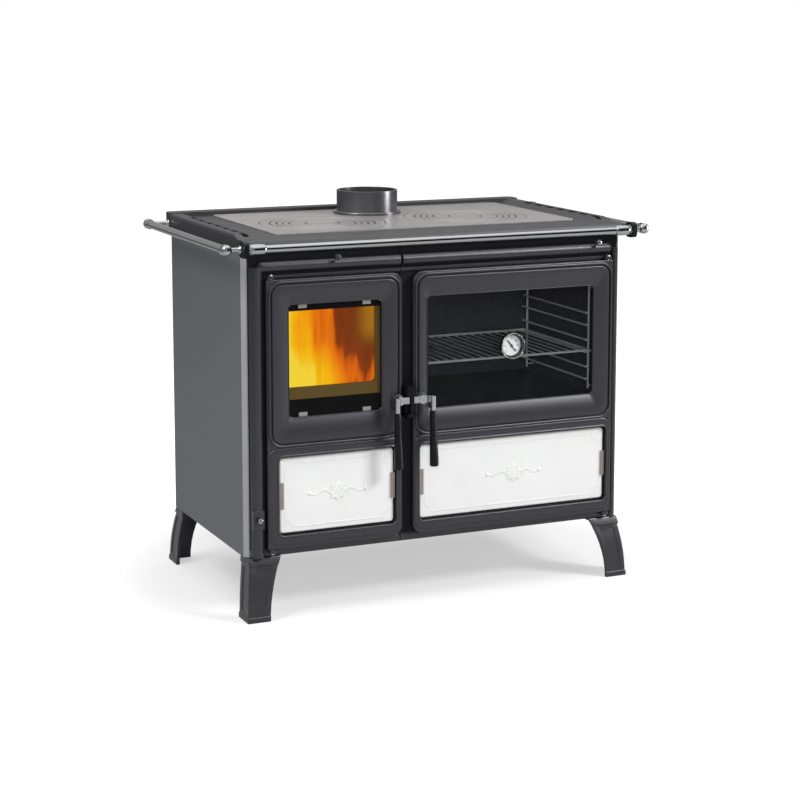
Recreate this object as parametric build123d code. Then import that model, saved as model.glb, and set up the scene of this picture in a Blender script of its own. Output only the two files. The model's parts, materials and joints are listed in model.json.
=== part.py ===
from build123d import *
from math import sqrt
import os

# A free-standing wood-burning cookstove: firebox on the left, oven on the right, cooking plate above.
# All sizes are millimetres. While the stove is drawn, X runs from the fire side to the oven side with 0
# at the middle, Y runs from front to back with 0 at the front edge of the side panels, and Z is up from
# the floor. The finished pieces move along Y by half the depth, so that the origin is the middle of
# the space the stove stands on. Every cutting shape runs at least 1 mm past the metal that it cuts.

# ---------------------------------------------------------------- driving sizes: body and cast front
fire_side_w = 366        # cast front over the firebox
oven_side_w = 566        # cast front over the oven
trim_w = 12              # bevelled corner strip beside the cast front
trim_d = 9
leg_h = 142
body_h = 690
sheet = 3                # side panels
back_t = 2
base_t = 4
panel_flange = 15        # side panel's top edge, folded inwards under the hob
front_t = 14
front_face = -6          # the cast front stands this far ahead of the side panels
seam_gap = 2             # between the two halves of the cast front
roll_r = 13              # round moulding along the top of the cast front
roll_drop = 33           # its middle below the top of the body
roll_out = 3             # its middle ahead of the front face
roll_end = 18            # from the edge of the casting to the moulding's round end
roll_gap = 3             # each half of the moulding stops this far from the seam
column_w = 32            # half-round column at the left edge
column_out = 18
right_column_w = 17
right_column_out = 12
drip_h = 7               # thin ledge over the doors
drip_out = 6
sill_h = 14              # low rail under the doors
sill_out = 2

# ---------------------------------------------------------------- driving sizes: hob
hob_t = 28
hob_side_in = 3.5        # hob frame inside the outer faces of the side panels
hob_front = -16
hob_overhang = 67        # hob frame behind the back panel
hob_nose_r = 12
hob_rear_corner_r = 18
front_rim = 90
rear_rim = 46
plate_left_rim = 104.5
plate_right_rim = 74.5
plate_t = 12
plate_proud = 2.5        # cooking plate above the hob frame's rim
plate_gap = 1
plate_ledge = 12
plate_corner_r = 20
side_band_w = 50
side_band_h = 6
side_band_round = 8      # outer top edge of a side band
side_band_slope = 20     # a side band's inner edge slopes over this width, and its front end over this length
side_band_ramp = 32
side_band_root = 2       # side band below the rim's top
side_band_lead = 40      # side bands start this far before the plate
rear_band_h = 8
rear_band_gap = 4        # between the plate and the rear band
rim_seam_w = 1.6         # line across the middle of the front rim
vent_count = 7
vent_l = 46
vent_w = 14
vent_pitch = 58
vent_first = 84          # middle of the first vent slot behind the hob's front edge
vent_in = 25.5           # middle of a vent slot from the hob's side
ring_r = 150
cap_r = 94
ring_spread = 37         # half the gap between the two rings
ring_margin = 25         # plate left in front of a ring
ring_groove_r = 122
cap_groove_r = 60
groove_w = 3
groove_d = 1.5
seat_w = 10
seat_h = 6
lift_gap = 0.4
flange_r = 83.3
flange_t = 7
flange_round = 3
flange_sunk = 2          # flange seated this deep in the plate
flange_gap = 0.4
spigot_r = 75
spigot_wall = 5
spigot_h = 50.6
flue_gap = 20            # plate left between the flue flange and a ring
flue_margin = 24         # plate left behind the flue flange

# ---------------------------------------------------------------- driving sizes: doors
door_drop = 61           # top of the doors below the top of the body
door_lift = 18           # bottom of the doors above the bottom of the body
door_t = 17
seal_t = 3
seal_w = 8
seal_clear = 4           # rope seal outside the mouths
door_side_gap = 3.4
fire_door_seam = 3       # fire door stops this far before the seam
oven_door_seam = 25.5    # oven door starts this far past the seam
door_corner_r = 24
bead_r = 36              # bead's corners, if they reached the door's edge
hinge_inset = 12
hinge_deep = 5           # hinge axis behind the door face
hinge_chamfer = 10
pin_r = 3
pin_in_door = 24
pin_head_r = 4.5
pin_head_t = 3
pin_gap = 0.05
lug_half = 9
lug_h = 8
lug_gap = 1
lug_skin = 1.5           # metal in front of a pin head
lug_round = 5
bead_in = 2.5            # bead in from the door's edge
bead_w = 6.5
bead_h = 5
bead_round = 3
bead_lift = 8            # bead section above the tile rim
bead_groove_w = 3
panel_h = 4              # raised panel round the window
panel_round = 3
rim_round = 3
window_r = 10
window_drop = 59         # window below the top of the door
fire_window_h = 254
fire_window_hinge = 55
fire_window_free = 49
oven_window_h = 260
oven_window_free = 39.5
oven_window_hinge = 50.6
glass_t = 4
glass_lap = 10
glass_side_gap = 1.5
glass_inside = 1.5       # glass stands this far in from the back of the door
glass_r = 3
glass_pocket_r = 4
tile_lift = 34
tile_h = 172
tile_t = 8
tile_sunk = 4            # tile face behind the door face
tile_gap = 4
tile_r = 8
tile_edge_r = 1.5
fire_tile_hinge = 30.6
fire_tile_free = 19
oven_tile_free = 18.9
oven_tile_hinge = 18.2
tile_rim_w = 22
tile_rim_h = 4
tile_rim_edge = 2
tile_clip_l = 60
tile_clip_lap = 8
tile_clip_t = 1.5
tile_clip_gap = 0.5
glass_clip_w = 20
glass_clip_h = 9
glass_clip_t = 2
glass_clip_x = 77.5      # middle of a glass clip from the middle of the window

# ---------------------------------------------------------------- driving sizes: latches and controls
handle_lift = 319.5      # handle shafts above the bottom of the doors
boss_r = 14
boss_out = 16
fire_pivot_in = 14
oven_pivot_in = 14.5
shaft_r = 6
shaft_gap = 0.05
washer_r = 9
washer_t = 3
washer_gap = 0.3
washer_in = 1            # washer in from the back of the door
washer_side_gap = 1
lever_gap = 1
lever_t = 6
lever_h = 15
lever_hub_out = 1        # hub ahead of the lever
lever_hub_rim = 3        # hub round the lever's edges
tongue_l = 22.5
fire_tube_in = 12
oven_tube_in = 20
tube_r = 6.3
tube_out = 34            # chrome tube ahead of the door face
tube_up = 9.5
tube_down = 24.5
web_in = 1.5             # web between the lever and the tube, narrower than the tube
web_up = 4
grip_l = 130
grip_top_r = 7.5
grip_bottom_r = 10.5
grip_end_round = 5
grip_gap = 0.3           # grip below the tube's end, so that its lean clears it
fire_grip_lean = 3
oven_grip_lean = 4
keeper_gap = 1.5
keeper_out = 46
keeper_up = 32.5
keeper_down = 40.5
keeper_round = 3
pocket_d = 9
pocket_clear = 1.5
pocket_down = 24         # room under the tongue for its swing
rod_r = 3
rod_gap = 0.05
top_rod_drop = 17        # upper control rods below the top of the body
secondary_in = 161       # secondary-air rod left of the seam
damper_in = 62.5         # flue-damper rod from the casting's right edge
primary_in = 14          # primary-air rod from the casting's left edge
primary_up = 89          # primary-air rod above the bottom of the body
primary_plate_w = 26
primary_plate_h = 43
primary_plate_out = 19
gate_t = 3
knob_round = 2
primary_knob_r = 7.5
primary_knob_l = 7
primary_knob_out = 6     # knob ahead of its plate
primary_reach = 90       # gates behind the cast front
primary_gate = (20, 40)
top_knob_r = 7
top_knob_l = 11
top_knob_out = 19
secondary_reach = 52
damper_reach = 92
top_gate = (60, 28)

# ---------------------------------------------------------------- driving sizes: thermometer
thermo_in = 217          # from the right edge of the oven window
thermo_up = 131          # from the bottom of the oven window
thermo_r = 31
thermo_rim_h = 4
thermo_rim_round = 1.5
thermo_body_r = 27
thermo_dial_r = 24
thermo_out = 7           # rim ahead of the door face
thermo_floor_t = 2
dial_t = 1
dial_gap = 0.5
dial_foot = 2            # dial's foot round the needle's hub
dial_sunk = 11
stem_r = 5
stem_gap = 0.5
nut_r = 9
nut_t = 2
needle_l = 17
needle_w = 2.4
needle_t = 0.8
needle_lift = 1.2
hub_r = 3
arbor_r = 1
arbor_gap = 0.05
arbor_end = 0.5          # arbor stops this far ahead of the case's floor
needle_turn = -38        # degrees, at rest

# ---------------------------------------------------------------- driving sizes: firebox and oven
fire_mouth_bottom = 270  # above the bottom of the doors
mouth_side = 9           # mouths are wider than the windows
mouth_up = 3
ash_mouth_lift = 18      # above the bottom of the doors
ash_mouth_h = 152
shell_wall = 4
shell_left_in = 26
shell_right_in = 5
shell_depth = 322
shell_under = 2          # shell floor below the ash mouth
shell_top_gap = 42       # shell below the top of the body
grate_shelf_drop = 26    # grate shelf below the fire mouth
brick_t = 30
brick_h = 236
brick_lead = 4           # side bricks start this far behind the cast front
grate_w = 160
grate_l = 200
grate_t = 10
grate_lap = 10
grate_front = 47
grate_bars = 8
baffle_t = 15
baffle_front = 92
baffle_gap = 1
drawer_wall = 2
drawer_h = 120
drawer_side_gap = 5
drawer_back_gap = 11
drawer_front_in = 22
drawer_lip_w = 70
drawer_lip_out = 8
drawer_lip_t = 6
drawer_lip_drop = 9      # lip below the drawer's rim
oven_wall = 3
oven_left_in = 34
oven_right_in = 16
oven_rear_gap = 76       # oven box ahead of the back of the body
oven_under = 10          # oven floor below the oven mouth
oven_mouth_under = 12    # oven mouth below the oven window
oven_mouth_right = 17    # oven mouth past the oven window
wire_r = 2.5             # runner rails
post_r = 2.8
stub_r = 2.2
rail_end = 6             # runner rails run this far past their stubs
runner_in = 18           # runner wires from the oven wall
runner_front = 52        # front runner wire behind the cast front
runner_rear = 50
runner_reach = 10
runner_first = 39        # lowest runner above the oven floor sheet
runner_foot = 25         # posts start this far below the lowest runner
runner_top_gap = 20
runner_stub_in = 8
runner_pitch = 66
runner_pair = 30
runner_levels = 3
shelf_level = 1
shelf_r = 3
shelf_side_r = 3.3       # side wires, which rest on the runners
shelf_end = 5            # side wires run this far past the front and back wires
rung_r = 1.5
rung_pitch = 23
shelf_front = 36
shelf_rest = 0.3
shield_gap = 25
shield_t = 1.5
shield_side_in = 48
shield_lift = 28
shield_drop = 32
spacer_r = 7
spacer_bore = 3
spacer_in = 30           # spacers from the shield's sides and from its top and bottom
spacer_up = 60

# ---------------------------------------------------------------- driving sizes: rails and legs
rail_r = 9
rail_wall = 1.5
rail_front_gap = 19.5    # clear space between the hob and the front rail
rail_drop = 17           # rail axis below the hob's top
ferrule_r = 12.5
ferrule_l = 36
ferrule_gap = 0.1
ferrule_round = 2
ring_band_l = 3.5
ring_band_gap = 1
bracket_w = 12
bracket_gap = 4.5
bracket_h = 36
bracket_ahead = 13.5     # bracket ahead of the front rail's axis, and behind it
bracket_behind = 22.5
bracket_round = 12
neck_l = 15              # neck that joins a bracket to the hob's front face
neck_in = 19             # neck inside the bracket's inner face
neck_lift = 2            # neck above the top of the body
side_rail_r = 9.5
side_rail_out = 49.5     # side rail axis outside the hob frame
knuckle_l = 26
knuckle_round = 4.5
front_link_r = 7
rear_link_r = 5
side_rail_front = -17
side_rail_rear = 45      # side rail ends this far before the hob's back edge
leg_foot_x = 8           # foot outside the body's side
leg_top_x = -7
leg_foot_y = 41
leg_top_y = 13
leg_foot_w = 53
leg_top_w = 73
leg_foot_d = 62
leg_top_d = 55
leg_wall = 7
leg_flange_t = 6
plinth_h = 12
plinth_out = 2
collar_h = 18
collar_out = 3
leg_panel_border = 14
leg_panel_depth = 2
leg_steps = 4            # straight steps along the leg's curve
bolt_r = 4
bolt_gap = 0.2
bolt_head_r = 7.5
bolt_head_t = 6
bolt_end = 2             # bolt past its nut
nut_gap = 0.05
bolt_in = (58, 30)       # leg bolts in from the body's sides
bolt_y = 28

# ---------------------------------------------------------------- places worked out from the sizes
cast_half = (fire_side_w + oven_side_w) / 2
body_half = cast_half + trim_w
seam_x = fire_side_w - cast_half
body_top = leg_h + body_h
front_back = front_face + front_t
hob_top = body_top + hob_t
rim_top = hob_top - plate_proud
hob_half = body_half - hob_side_in
plate_x = (plate_left_rim - hob_half, hob_half - plate_right_rim)
plate_front = hob_front + front_rim
plate_low = hob_top - plate_t
ring_y = plate_front + ring_margin + ring_r
ring_x = ring_r + ring_spread
flue_y = ring_y + sqrt((ring_r + flange_r + flue_gap) ** 2 - ring_x ** 2)
plate_back = flue_y + flange_r + flue_margin
hob_back = plate_back + rear_rim
body_back = hob_back - hob_overhang
spigot_top = hob_top + flange_t + spigot_h

door_z = (leg_h + door_lift, body_top - door_drop)
door_back = front_face - seal_t
door_face = door_back - door_t
fire_door_x = (column_w + door_side_gap - cast_half, seam_x - fire_door_seam)
oven_door_x = (seam_x + oven_door_seam, cast_half - right_column_w - door_side_gap)
hinge_y = door_face + hinge_deep
fire_hinge_x = fire_door_x[0] + hinge_inset
oven_hinge_x = oven_door_x[1] - hinge_inset
window_top = door_z[1] - window_drop
fire_window_x = (fire_door_x[0] + fire_window_hinge, fire_door_x[1] - fire_window_free)
fire_window_z = (window_top - fire_window_h, window_top)
oven_window_x = (oven_door_x[0] + oven_window_free, oven_door_x[1] - oven_window_hinge)
oven_window_z = (window_top - oven_window_h, window_top)
panel_in = bead_in + bead_w + bead_groove_w
glass_back = door_back - glass_inside
glass_front = glass_back - glass_t
tile_z = (door_z[0] + tile_lift, door_z[0] + tile_lift + tile_h)
fire_tile_x = (fire_door_x[0] + fire_tile_hinge, fire_door_x[1] - fire_tile_free)
oven_tile_x = (oven_door_x[0] + oven_tile_free, oven_door_x[1] - oven_tile_hinge)
tile_face = door_face + tile_sunk
tile_back = tile_face + tile_t

handle_z = door_z[0] + handle_lift
fire_pivot_x = fire_door_x[1] - fire_pivot_in
oven_pivot_x = oven_door_x[0] + oven_pivot_in
boss_front = door_face - boss_out
lever_back = boss_front - lever_gap
lever_front = lever_back - lever_t
tube_y = door_face - tube_out
grip_top = handle_z - tube_down
grip_front = tube_y - grip_bottom_r
keeper_x = (fire_door_x[1] + keeper_gap, oven_door_x[0] - keeper_gap)
keeper_z = (handle_z - keeper_down, handle_z + keeper_up)
top_rod_z = body_top - top_rod_drop
secondary_x = seam_x - secondary_in
damper_x = cast_half - damper_in
primary_x = primary_in - cast_half
primary_z = leg_h + primary_up
primary_plate_face = front_face - primary_plate_out

thermo_x = oven_window_x[1] - thermo_in
thermo_z = oven_window_z[0] + thermo_up
thermo_front = door_face - thermo_out
thermo_floor = glass_front - thermo_floor_t
dial_front = thermo_front + dial_sunk

fire_mouth_x = (fire_window_x[0] - mouth_side, fire_window_x[1] + mouth_side)
fire_mouth_z = (door_z[0] + fire_mouth_bottom, window_top + mouth_up)
ash_mouth_z = (door_z[0] + ash_mouth_lift, door_z[0] + ash_mouth_lift + ash_mouth_h)
oven_mouth_x = (oven_window_x[0] - mouth_side, oven_window_x[1] + oven_mouth_right)
oven_mouth_z = (oven_window_z[0] - oven_mouth_under, window_top + mouth_up)
shell_x = (shell_left_in - cast_half, seam_x - shell_right_in)
shell_y = (front_back, front_back + shell_depth)
shell_z = (ash_mouth_z[0] - shell_under, body_top - shell_top_gap)
shell_floor = shell_z[0] + shell_wall
grate_z = fire_mouth_z[0] - grate_shelf_drop
brick_top = grate_z + brick_h
drawer_x = (fire_mouth_x[0] + drawer_side_gap, fire_mouth_x[1] - drawer_side_gap)
drawer_y = (front_back + drawer_front_in, shell_y[1] - shell_wall - drawer_back_gap)
oven_x = (seam_x + oven_left_in, cast_half - oven_right_in)
oven_y = (front_back, body_back - oven_rear_gap)
oven_z = (oven_mouth_z[0] - oven_under, oven_mouth_z[1] + oven_under)
runner_x = (oven_x[0] + oven_wall + runner_in, oven_x[1] - oven_wall - runner_in)
runner_y = (front_back + runner_front, oven_y[1] - runner_rear)
shelf_wire_z = oven_z[0] + oven_wall + runner_first + shelf_level * runner_pitch
shelf_z = shelf_wire_z + wire_r + shelf_side_r + shelf_rest
shield_front = body_back + shield_gap

rail_z = hob_top - rail_drop
rail_y = hob_front - rail_front_gap - rail_r
bracket_x = (hob_half + bracket_gap, hob_half + bracket_gap + bracket_w)
side_rail_x = hob_half + side_rail_out
side_rail_y = (side_rail_front, hob_back - side_rail_rear)

mid_depth = (grip_front + hob_back) / 2

nodes = {}


def keep(name, *pieces):
    """Store one sub-part: its separate solids, moved so that the origin is mid depth."""
    solids = [solid for piece in pieces for solid in piece.solids()]
    nodes[name] = Compound(solids).moved(Location((0, -mid_depth, 0)))


def block(x, y, z):
    """A box given by its low and high value along each axis."""
    centre = [(span[0] + span[1]) / 2 for span in (x, y, z)]
    return Pos(*centre) * Box(x[1] - x[0], y[1] - y[0], z[1] - z[0])


def grow(span, amount):
    """A span made wider by the same amount at both ends."""
    return (span[0] - amount, span[1] + amount)


def both(value):
    """The span from minus a value to plus that value."""
    return (-value, value)


def upright(x, z, y_back, y_front, radius=0):
    """A plate standing across the stove, its outline's corners rounded."""
    size = (x[1] - x[0], z[1] - z[0])
    outline = RectangleRounded(*size, radius) if radius else Rectangle(*size)
    origin = ((x[0] + x[1]) / 2, y_back, (z[0] + z[1]) / 2)
    return extrude(Plane(origin=origin, x_dir=(1, 0, 0), z_dir=(0, -1, 0)) * outline, y_back - y_front)


def rod(start, end, radius):
    """A round bar between two points."""
    line = Vector(*end) - Vector(*start)
    return Solid.make_cylinder(radius, line.length, Plane(origin=start, z_dir=line))


def rod_y(x, z, y_front, y_back, radius):
    """A round bar along the depth of the stove."""
    return rod((x, y_front, z), (x, y_back, z), radius)


def disc(x, y, z_low, z_high, radius):
    """A round upright bar or disc."""
    return rod((x, y, z_low), (x, y, z_high), radius)


# ---------------------------------------------------------------- body panels
def side_panel(side):
    """Outer side sheet with its top edge folded inwards."""
    y = (trim_d, body_back)
    outer = body_half * side
    inner = (body_half - sheet) * side
    folded = (body_half - sheet - panel_flange) * side
    wall = block(sorted((outer, inner)), y, (leg_h, body_top))
    return wall + block(sorted((inner, folded)), (y[0], y[1] - back_t), (body_top - sheet, body_top))


def corner_trim(side):
    """Light strip that bevels the corner from the cast front to the side panel."""
    corners = [(body_half, trim_d), (body_half - trim_d, 0), (cast_half, 0), (cast_half, trim_d)]
    outline = Polygon(*[(x * side, y) for x, y in corners], align=None)
    return extrude(Plane.XY.offset(leg_h) * outline, body_h, dir=(0, 0, 1))


keep("left_side_panel", side_panel(-1))
keep("right_side_panel", side_panel(1))
keep("corner_trims", corner_trim(-1), corner_trim(1))
back = block(both(body_half - sheet), (body_back - back_t, body_back), (leg_h, body_top))
keep("back_panel", back)

base = block(both(body_half - sheet), (trim_d, body_back - back_t), (leg_h, leg_h + base_t))
bolt_x = [body_half - inset for inset in bolt_in]
leg_bolt_places = [(x * side, y) for side in (-1, 1) for x in bolt_x for y in (bolt_y, body_back - bolt_y)]
for x, y in leg_bolt_places:
    base -= disc(x, y, leg_h - 1, leg_h + base_t + 1, bolt_r + bolt_gap)
keep("base_plate", base)

shield_x = both(body_half - shield_side_in)
shield_z = (leg_h + shield_lift, body_top - shield_drop)
keep("rear_heat_shield", block(shield_x, (shield_front, shield_front + shield_t), shield_z))
spacers = []
for x in (shield_x[0] + spacer_in, 0, shield_x[1] - spacer_in):
    for z in (shield_z[0] + spacer_up, shield_z[1] - spacer_up):
        spacer = rod_y(x, z, body_back, shield_front, spacer_r)
        spacers.append(spacer - rod_y(x, z, body_back, shield_front, spacer_bore))
keep("shield_spacers", *spacers)


# ---------------------------------------------------------------- cast front
def column(x_mid, width, reach, z):
    """Half-round upright moulding standing on the cast front's face."""
    oval = extrude(Plane.XY.offset(z[0]) * Pos(x_mid, front_face) * Ellipse(width / 2, reach), z[1] - z[0])
    return oval & block(both(body_half), (front_face - reach, front_face), z)


def roll(x_inner, x_outer):
    """Round moulding over a door, flat at the seam end and round at the outer end."""
    middle = (front_face - roll_out, body_top - roll_drop)
    towards_seam = 1 if x_inner > x_outer else -1
    x_round = x_outer + towards_seam * roll_r
    bar = rod((x_inner, *middle), (x_round, *middle), roll_r) + Pos(x_round, *middle) * Sphere(roll_r)
    return bar & block(both(body_half), (front_face - roll_out - roll_r, front_back), (0, hob_top))


def hinge_lug(x, z):
    """Lug on the cast front that holds one hinge pin."""
    lug = block((x - lug_half, x + lug_half), (hinge_y - pin_head_r - lug_skin, front_face), z)
    return fillet(lug.edges().filter_by(Axis.Z).group_by(Axis.Y)[0], lug_round)


top_lug_z = (door_z[1] + lug_gap, door_z[1] + lug_gap + lug_h)
low_lug_z = (door_z[0] - lug_gap - lug_h, door_z[0] - lug_gap)
drip_z = (top_lug_z[1] - drip_h, top_lug_z[1])
roll_z = body_top - roll_drop
drip_y = (front_face - drip_out, front_face)
sill_y = (front_face - sill_out, front_face)
sill_z = (leg_h, leg_h + sill_h)

left_x = (-cast_half, seam_x - seam_gap / 2)
left = block(left_x, (front_face, front_back), (leg_h, body_top))
left += column(column_w / 2 - cast_half, column_w, column_out, (leg_h, roll_z))
left += roll(seam_x - roll_gap, roll_end - cast_half)
left += block((fire_door_x[0], left_x[1]), drip_y, drip_z)
left += block((fire_door_x[0], left_x[1]), sill_y, sill_z)
plate_span = (primary_x - primary_plate_w / 2, primary_x + primary_plate_w / 2)
plate_rise = (primary_z - primary_plate_h / 2, primary_z + primary_plate_h / 2)
left += block(plate_span, (primary_plate_face, front_face), plate_rise)
right_x = (seam_x + seam_gap / 2, cast_half)
right = block(right_x, (front_face, front_back), (leg_h, body_top))
right += column(cast_half - right_column_w / 2, right_column_w, right_column_out, (leg_h, roll_z))
right += roll(seam_x + roll_gap, cast_half - roll_end)
right += block((right_x[0], oven_door_x[1]), drip_y, drip_z)
right += block((right_x[0], oven_door_x[1]), sill_y, sill_z)
for z in (top_lug_z, low_lug_z):
    left += hinge_lug(fire_hinge_x, z)
    right += hinge_lug(oven_hinge_x, z)
    left -= disc(fire_hinge_x, hinge_y, z[0] - 1, z[1] + 1, pin_r + pin_gap)
    right -= disc(oven_hinge_x, hinge_y, z[0] - 1, z[1] + 1, pin_r + pin_gap)
left -= upright(fire_mouth_x, fire_mouth_z, front_back + 1, front_face - 1, window_r)
left -= upright(fire_mouth_x, ash_mouth_z, front_back + 1, front_face - 1, window_r)
right -= upright(oven_mouth_x, oven_mouth_z, front_back + 1, front_face - 1, window_r)
left -= rod_y(secondary_x, top_rod_z, front_face - 1, front_back + 1, rod_r + rod_gap)
left -= rod_y(primary_x, primary_z, primary_plate_face - 1, front_back + 1, rod_r + rod_gap)
right -= rod_y(damper_x, top_rod_z, front_face - 1, front_back + 1, rod_r + rod_gap)
keep("front_frame_left", left)
keep("front_frame_right", right)

keeper_y = (front_face - keeper_out, front_face)
pocket_y = (keeper_y[0] - 1, lever_back + pocket_clear)
pocket_z = (handle_z - lever_h / 2 - pocket_down, handle_z + lever_h / 2 + pocket_clear)
keeper = block(keeper_x, keeper_y, keeper_z)
keeper = fillet(keeper.edges().filter_by(Axis.Z).group_by(Axis.Y)[0], keeper_round)
keeper -= block((keeper_x[0] - 1, keeper_x[0] + pocket_d), pocket_y, pocket_z)
keeper -= block((keeper_x[1] - pocket_d, keeper_x[1] + 1), pocket_y, pocket_z)
keep("latch_keeper", keeper)

pins = []
for x in (fire_hinge_x, oven_hinge_x):
    head_top = top_lug_z[1]
    pins.append(disc(x, hinge_y, door_z[1] - pin_in_door, head_top, pin_r)
                + disc(x, hinge_y, head_top, head_top + pin_head_t, pin_head_r))
    head_low = low_lug_z[0]
    pins.append(disc(x, hinge_y, head_low, door_z[0] + pin_in_door, pin_r)
                + disc(x, hinge_y, head_low - pin_head_t, head_low, pin_head_r))
keep("hinge_pins", *pins)

# ---------------------------------------------------------------- hob
frame = block(both(hob_half), (hob_front, hob_back), (body_top, rim_top))
frame = fillet(frame.edges().filter_by(Axis.Z).group_by(Axis.Y)[-1], hob_rear_corner_r)
frame = fillet(frame.edges().filter_by(Axis.X).group_by(Axis.Y)[0].sort_by(Axis.Z)[-1], hob_nose_r)
band_y = (plate_front - side_band_lead, plate_back + rear_band_gap)
band_root = rim_top - side_band_root
band_top = hob_top + side_band_h
along = Plane(origin=(-hob_half, 0, 0), x_dir=(0, 1, 0), z_dir=(1, 0, 0))
ramp = Polygon((band_y[0], band_root), (band_y[0], rim_top), (band_y[0] + side_band_ramp, band_top),
               (band_y[1], band_top), (band_y[1], band_root), align=None)
for side in (-1, 1):
    outer = hob_half * side
    inner = (hob_half - side_band_w) * side
    section = Polygon((outer, band_root), (outer, band_top), (inner + side_band_slope * side, band_top),
                      (inner, rim_top), (inner, band_root), align=None)
    section = fillet(section.vertices().sort_by_distance((outer, band_top, 0))[0], side_band_round)
    across = Plane(origin=(0, band_y[0], 0), x_dir=(1, 0, 0), z_dir=(0, -1, 0))
    band = extrude(across * section, band_y[1] - band_y[0], dir=(0, 1, 0))
    frame += band & extrude(along * ramp, 2 * hob_half, dir=(1, 0, 0))
    for number in range(vent_count):
        y = hob_front + vent_first + number * vent_pitch
        x = (hob_half - vent_in) * side
        slot = Plane.XY.offset(body_top - 1) * Pos(x, y) * Rot(0, 0, 90) * SlotOverall(vent_l, vent_w)
        frame -= extrude(slot, hob_t + side_band_h + 2)
rear_band = block(both(hob_half), (plate_back + rear_band_gap, hob_back), (rim_top, hob_top + rear_band_h))
frame += fillet(rear_band.edges().filter_by(Axis.Z).group_by(Axis.Y)[-1], hob_rear_corner_r)


def plate_outline(amount, radius):
    """The cooking plate's outline, made larger or smaller by an amount."""
    width = plate_x[1] - plate_x[0] + 2 * amount
    depth = plate_back - plate_front + 2 * amount
    middle = Pos((plate_x[0] + plate_x[1]) / 2, (plate_front + plate_back) / 2)
    return middle * RectangleRounded(width, depth, radius)


frame -= extrude(Plane.XY.offset(plate_low) * plate_outline(0, plate_corner_r), hob_t)
frame -= extrude(Plane.XY.offset(body_top - 1) * plate_outline(-plate_ledge, plate_corner_r), hob_t)
frame -= block(both(rim_seam_w / 2), (hob_front - 1, plate_front), (rim_top - groove_d, rim_top + 1))
keep("hob_frame", frame)

plate = extrude(Plane.XY.offset(plate_low) * plate_outline(-plate_gap, plate_corner_r - plate_gap), plate_t)
plate -= disc(0, flue_y, plate_low - 1, hob_top + 1, spigot_r - spigot_wall)
flange_low = hob_top - flange_sunk
plate -= disc(0, flue_y, flange_low, hob_top + 1, flange_r + flange_gap)
seat_z = hob_top - seat_h
for x in (-ring_x, ring_x):
    plate -= disc(x, ring_y, seat_z, hob_top + 1, ring_r + lift_gap)
    plate -= disc(x, ring_y, plate_low - 1, seat_z, ring_r - seat_w)
keep("hob_plate", plate)


def groove(x, radius):
    """Turned groove in the cooking surface."""
    outer = disc(x, ring_y, hob_top - groove_d, hob_top + 1, radius + groove_w / 2)
    return outer - disc(x, ring_y, hob_top - groove_d, hob_top + 1, radius - groove_w / 2)


def hob_ring(x):
    """Lift-out ring, stepped to sit in the plate and to carry its cap."""
    ring = disc(x, ring_y, seat_z, hob_top, ring_r)
    ring += disc(x, ring_y, plate_low, seat_z, ring_r - seat_w - lift_gap)
    ring -= disc(x, ring_y, seat_z, hob_top + 1, cap_r + lift_gap)
    ring -= disc(x, ring_y, plate_low - 1, seat_z, cap_r - seat_w)
    return ring - groove(x, ring_groove_r)


def hob_cap(x):
    """Lift-out cap in the middle of a ring."""
    cap = disc(x, ring_y, seat_z, hob_top, cap_r)
    cap += disc(x, ring_y, plate_low, seat_z, cap_r - seat_w - lift_gap)
    return cap - groove(x, cap_groove_r)


for side, x in (("left", -ring_x), ("right", ring_x)):
    keep(f"{side}_hob_ring", hob_ring(x))
    keep(f"{side}_hob_cap", hob_cap(x))

collar = disc(0, flue_y, flange_low, hob_top + flange_t, flange_r)
collar = fillet(collar.edges().group_by(Axis.Z)[-1], flange_round)
collar += disc(0, flue_y, hob_top + flange_t, spigot_top, spigot_r)
collar -= disc(0, flue_y, flange_low - 1, spigot_top + 1, spigot_r - spigot_wall)
keep("flue_collar", collar)

# ---------------------------------------------------------------- rails
rail_half = bracket_x[0]
front_rail = rod((-rail_half, rail_y, rail_z), (rail_half, rail_y, rail_z), rail_r)
front_rail -= rod((-rail_half, rail_y, rail_z), (rail_half, rail_y, rail_z), rail_r - rail_wall)
keep("front_rail", front_rail)

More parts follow.
